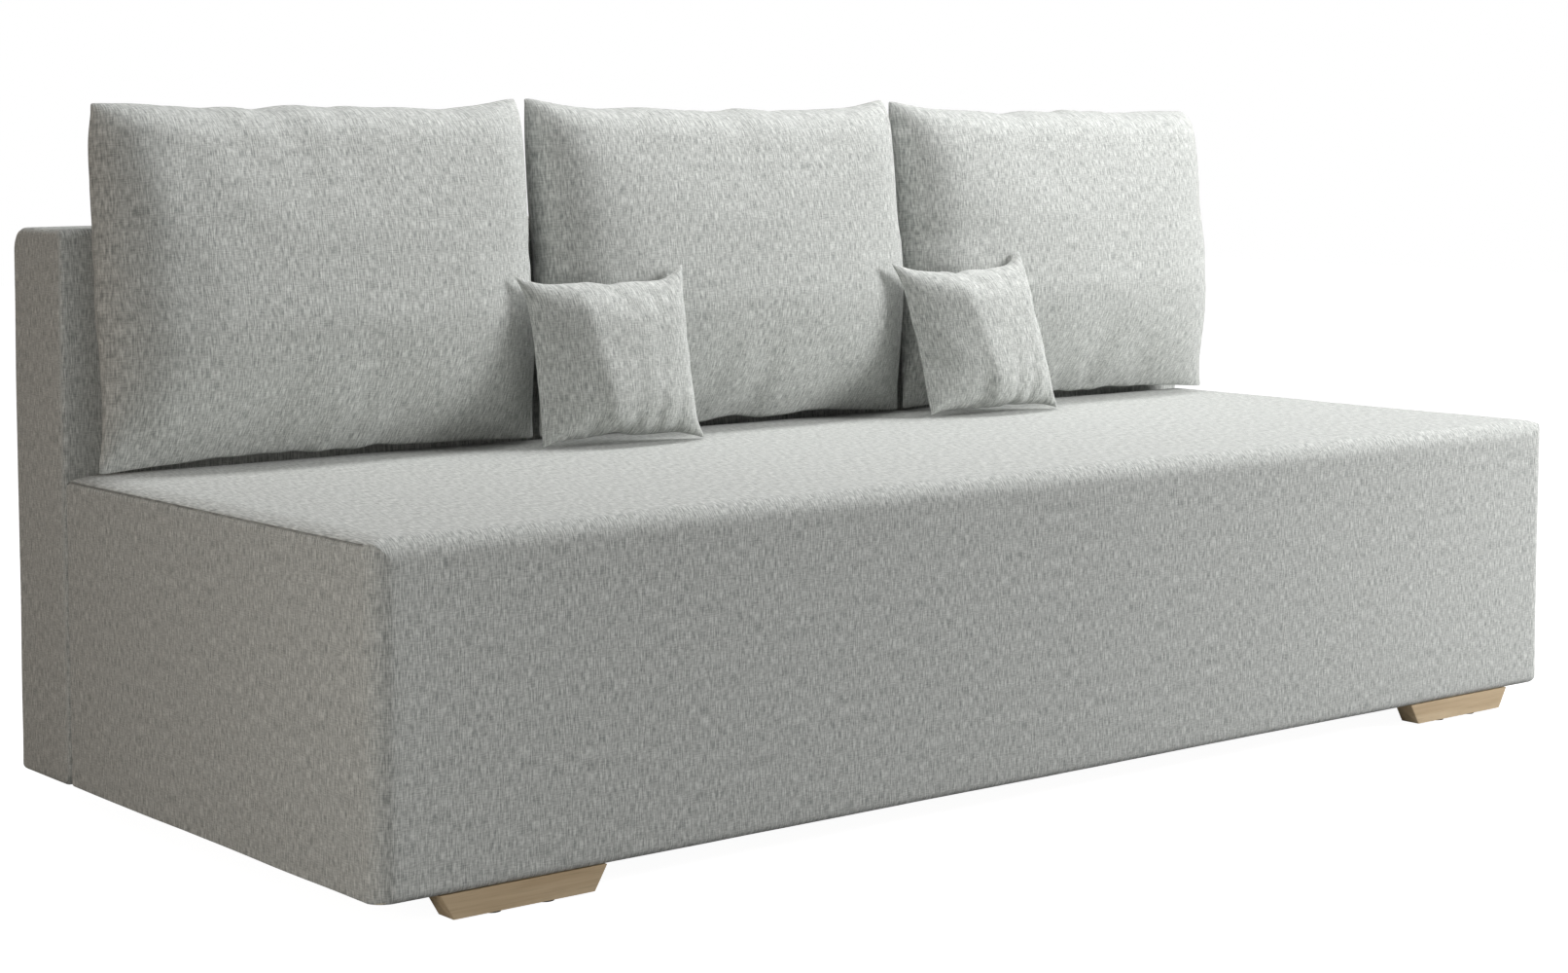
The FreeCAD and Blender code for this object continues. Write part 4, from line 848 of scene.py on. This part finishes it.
def finish_nodes():
    slots = {row["node"]: row["material_slot"] for row in frame["record"]["subparts"]}
    for name, node in frame["nodes"].items():
        node.data.materials.clear()
        node.data.materials.append(MATERIALS[slots[name]])
        if slots[name] in ("birch", "softwood", "chipboard"):
            joined = node.modifiers.new("joined", "WELD")
            joined.merge_threshold = 0.00002
            bevel = node.modifiers.new("eased", "BEVEL")
            bevel.width = 0.0012
            bevel.segments = 2
            bevel.limit_method = "ANGLE"
            bevel.angle_limit = math.radians(40)


# Camera, light and floor

def camera():
    data = bpy.data.cameras.new("camera")
    data.lens = 65.77
    data.sensor_width = 36
    data.shift_y = -0.0971
    holder = bpy.data.objects.new("camera", data)
    holder.location = (-2.531, -2.998, 0.842)
    holder.rotation_euler = (math.radians(90 - 4), 0, math.radians(-39.10))
    bpy.context.scene.collection.objects.link(holder)
    bpy.context.scene.camera = holder


def lamp(name, spot, target, size, power, colour=(1, 1, 1)):
    data = bpy.data.lights.new(name, "AREA")
    data.shape = "RECTANGLE"
    data.size, data.size_y = size
    data.energy = power
    data.color = colour
    holder = bpy.data.objects.new(name, data)
    holder.location = spot
    holder.rotation_euler = (Vector(target) - Vector(spot)).to_track_quat("-Z", "Y").to_euler()
    bpy.context.scene.collection.objects.link(holder)


# Name, place, aimed at, size, power and colour
LAMPS = [
    ("strip", (0.3, 0.05, 2.6), (0.3, 0.0, 0.3), (3.0, 0.5), 41, (1, 1, 1)),
    ("strip_right", (1.9, -0.4, 2.2), (0.7, -0.1, 0.4), (0.8, 0.8), 3, (1, 1, 1)),
    ("key", (3.0, -1.95, 1.65), (0.5, 0, 0.3), (1.2, 1.2), 122, (1, 1, 1)),
    ("front_left", (-2.4, -1.0, 0.5), (-1, -0.3, 0.2), (0.6, 0.6), 7.5, (1, 0.97, 0.92)),
    ("warm_left", (-3.6, 1.2, 0.9), (-1, 0.3, 0.2), (1.0, 1.0), 4.5, (1, 0.60, 0.28)),
]
FILL = 0.10


def lights():
    world = bpy.data.worlds.new("studio")
    bpy.context.scene.world = world
    world.use_nodes = True
    nodes, links = world.node_tree.nodes, world.node_tree.links
    seen = nodes.new("ShaderNodeLightPath")
    strength = nodes.new("ShaderNodeMapRange")
    strength.inputs["To Min"].default_value = FILL
    strength.inputs["To Max"].default_value = 1.0
    pure = nodes.new("ShaderNodeMath")
    pure.operation = "MAXIMUM"
    both = nodes.new("ShaderNodeMath")
    both.operation = "MAXIMUM"
    links.new(seen.outputs["Is Glossy Ray"], pure.inputs[0])
    links.new(seen.outputs["Is Transmission Ray"], pure.inputs[1])
    links.new(seen.outputs["Is Camera Ray"], both.inputs[0])
    links.new(pure.outputs["Value"], both.inputs[1])
    links.new(both.outputs["Value"], strength.inputs["Value"])
    links.new(strength.outputs["Result"], nodes["Background"].inputs["Strength"])
    nodes["Background"].inputs["Color"].default_value = (1, 1, 1, 1)
    for row in LAMPS:
        lamp(*row)


def floor():
    """A pale floor that looks white to the camera outside the shadow."""
    reach = 12
    corners = [(-reach, -reach, 0), (reach, -reach, 0), (reach, reach, 0), (-reach, reach, 0)]
    piece = make_object("floor", corners, [(0, 1, 2, 3)])
    tree = Tree("floor", Roughness=0.9)
    tree.surface.inputs["Base Color"].default_value = (0.3, 0.3, 0.3, 1)
    seen = tree.nodes.new("ShaderNodeLightPath")
    tree.surface.inputs["Emission Color"].default_value = (1, 1, 1, 1)
    glow = tree.math("MULTIPLY", seen.outputs["Is Camera Ray"], 0.96)
    tree.link(glow, tree.surface.inputs["Emission Strength"])
    piece.data.materials.append(tree.material)


camera()
lights()
floor()
seat_cover()
sheet_panel("seat_rear_panel", REAR_PANEL_LOW, REAR_PANEL_HIGH, "seat", "seat_rear_cover")
back_cover()
back_lining()
loose_pieces()
finish_nodes()
bpy.context.scene.view_settings.view_transform = "Standard"
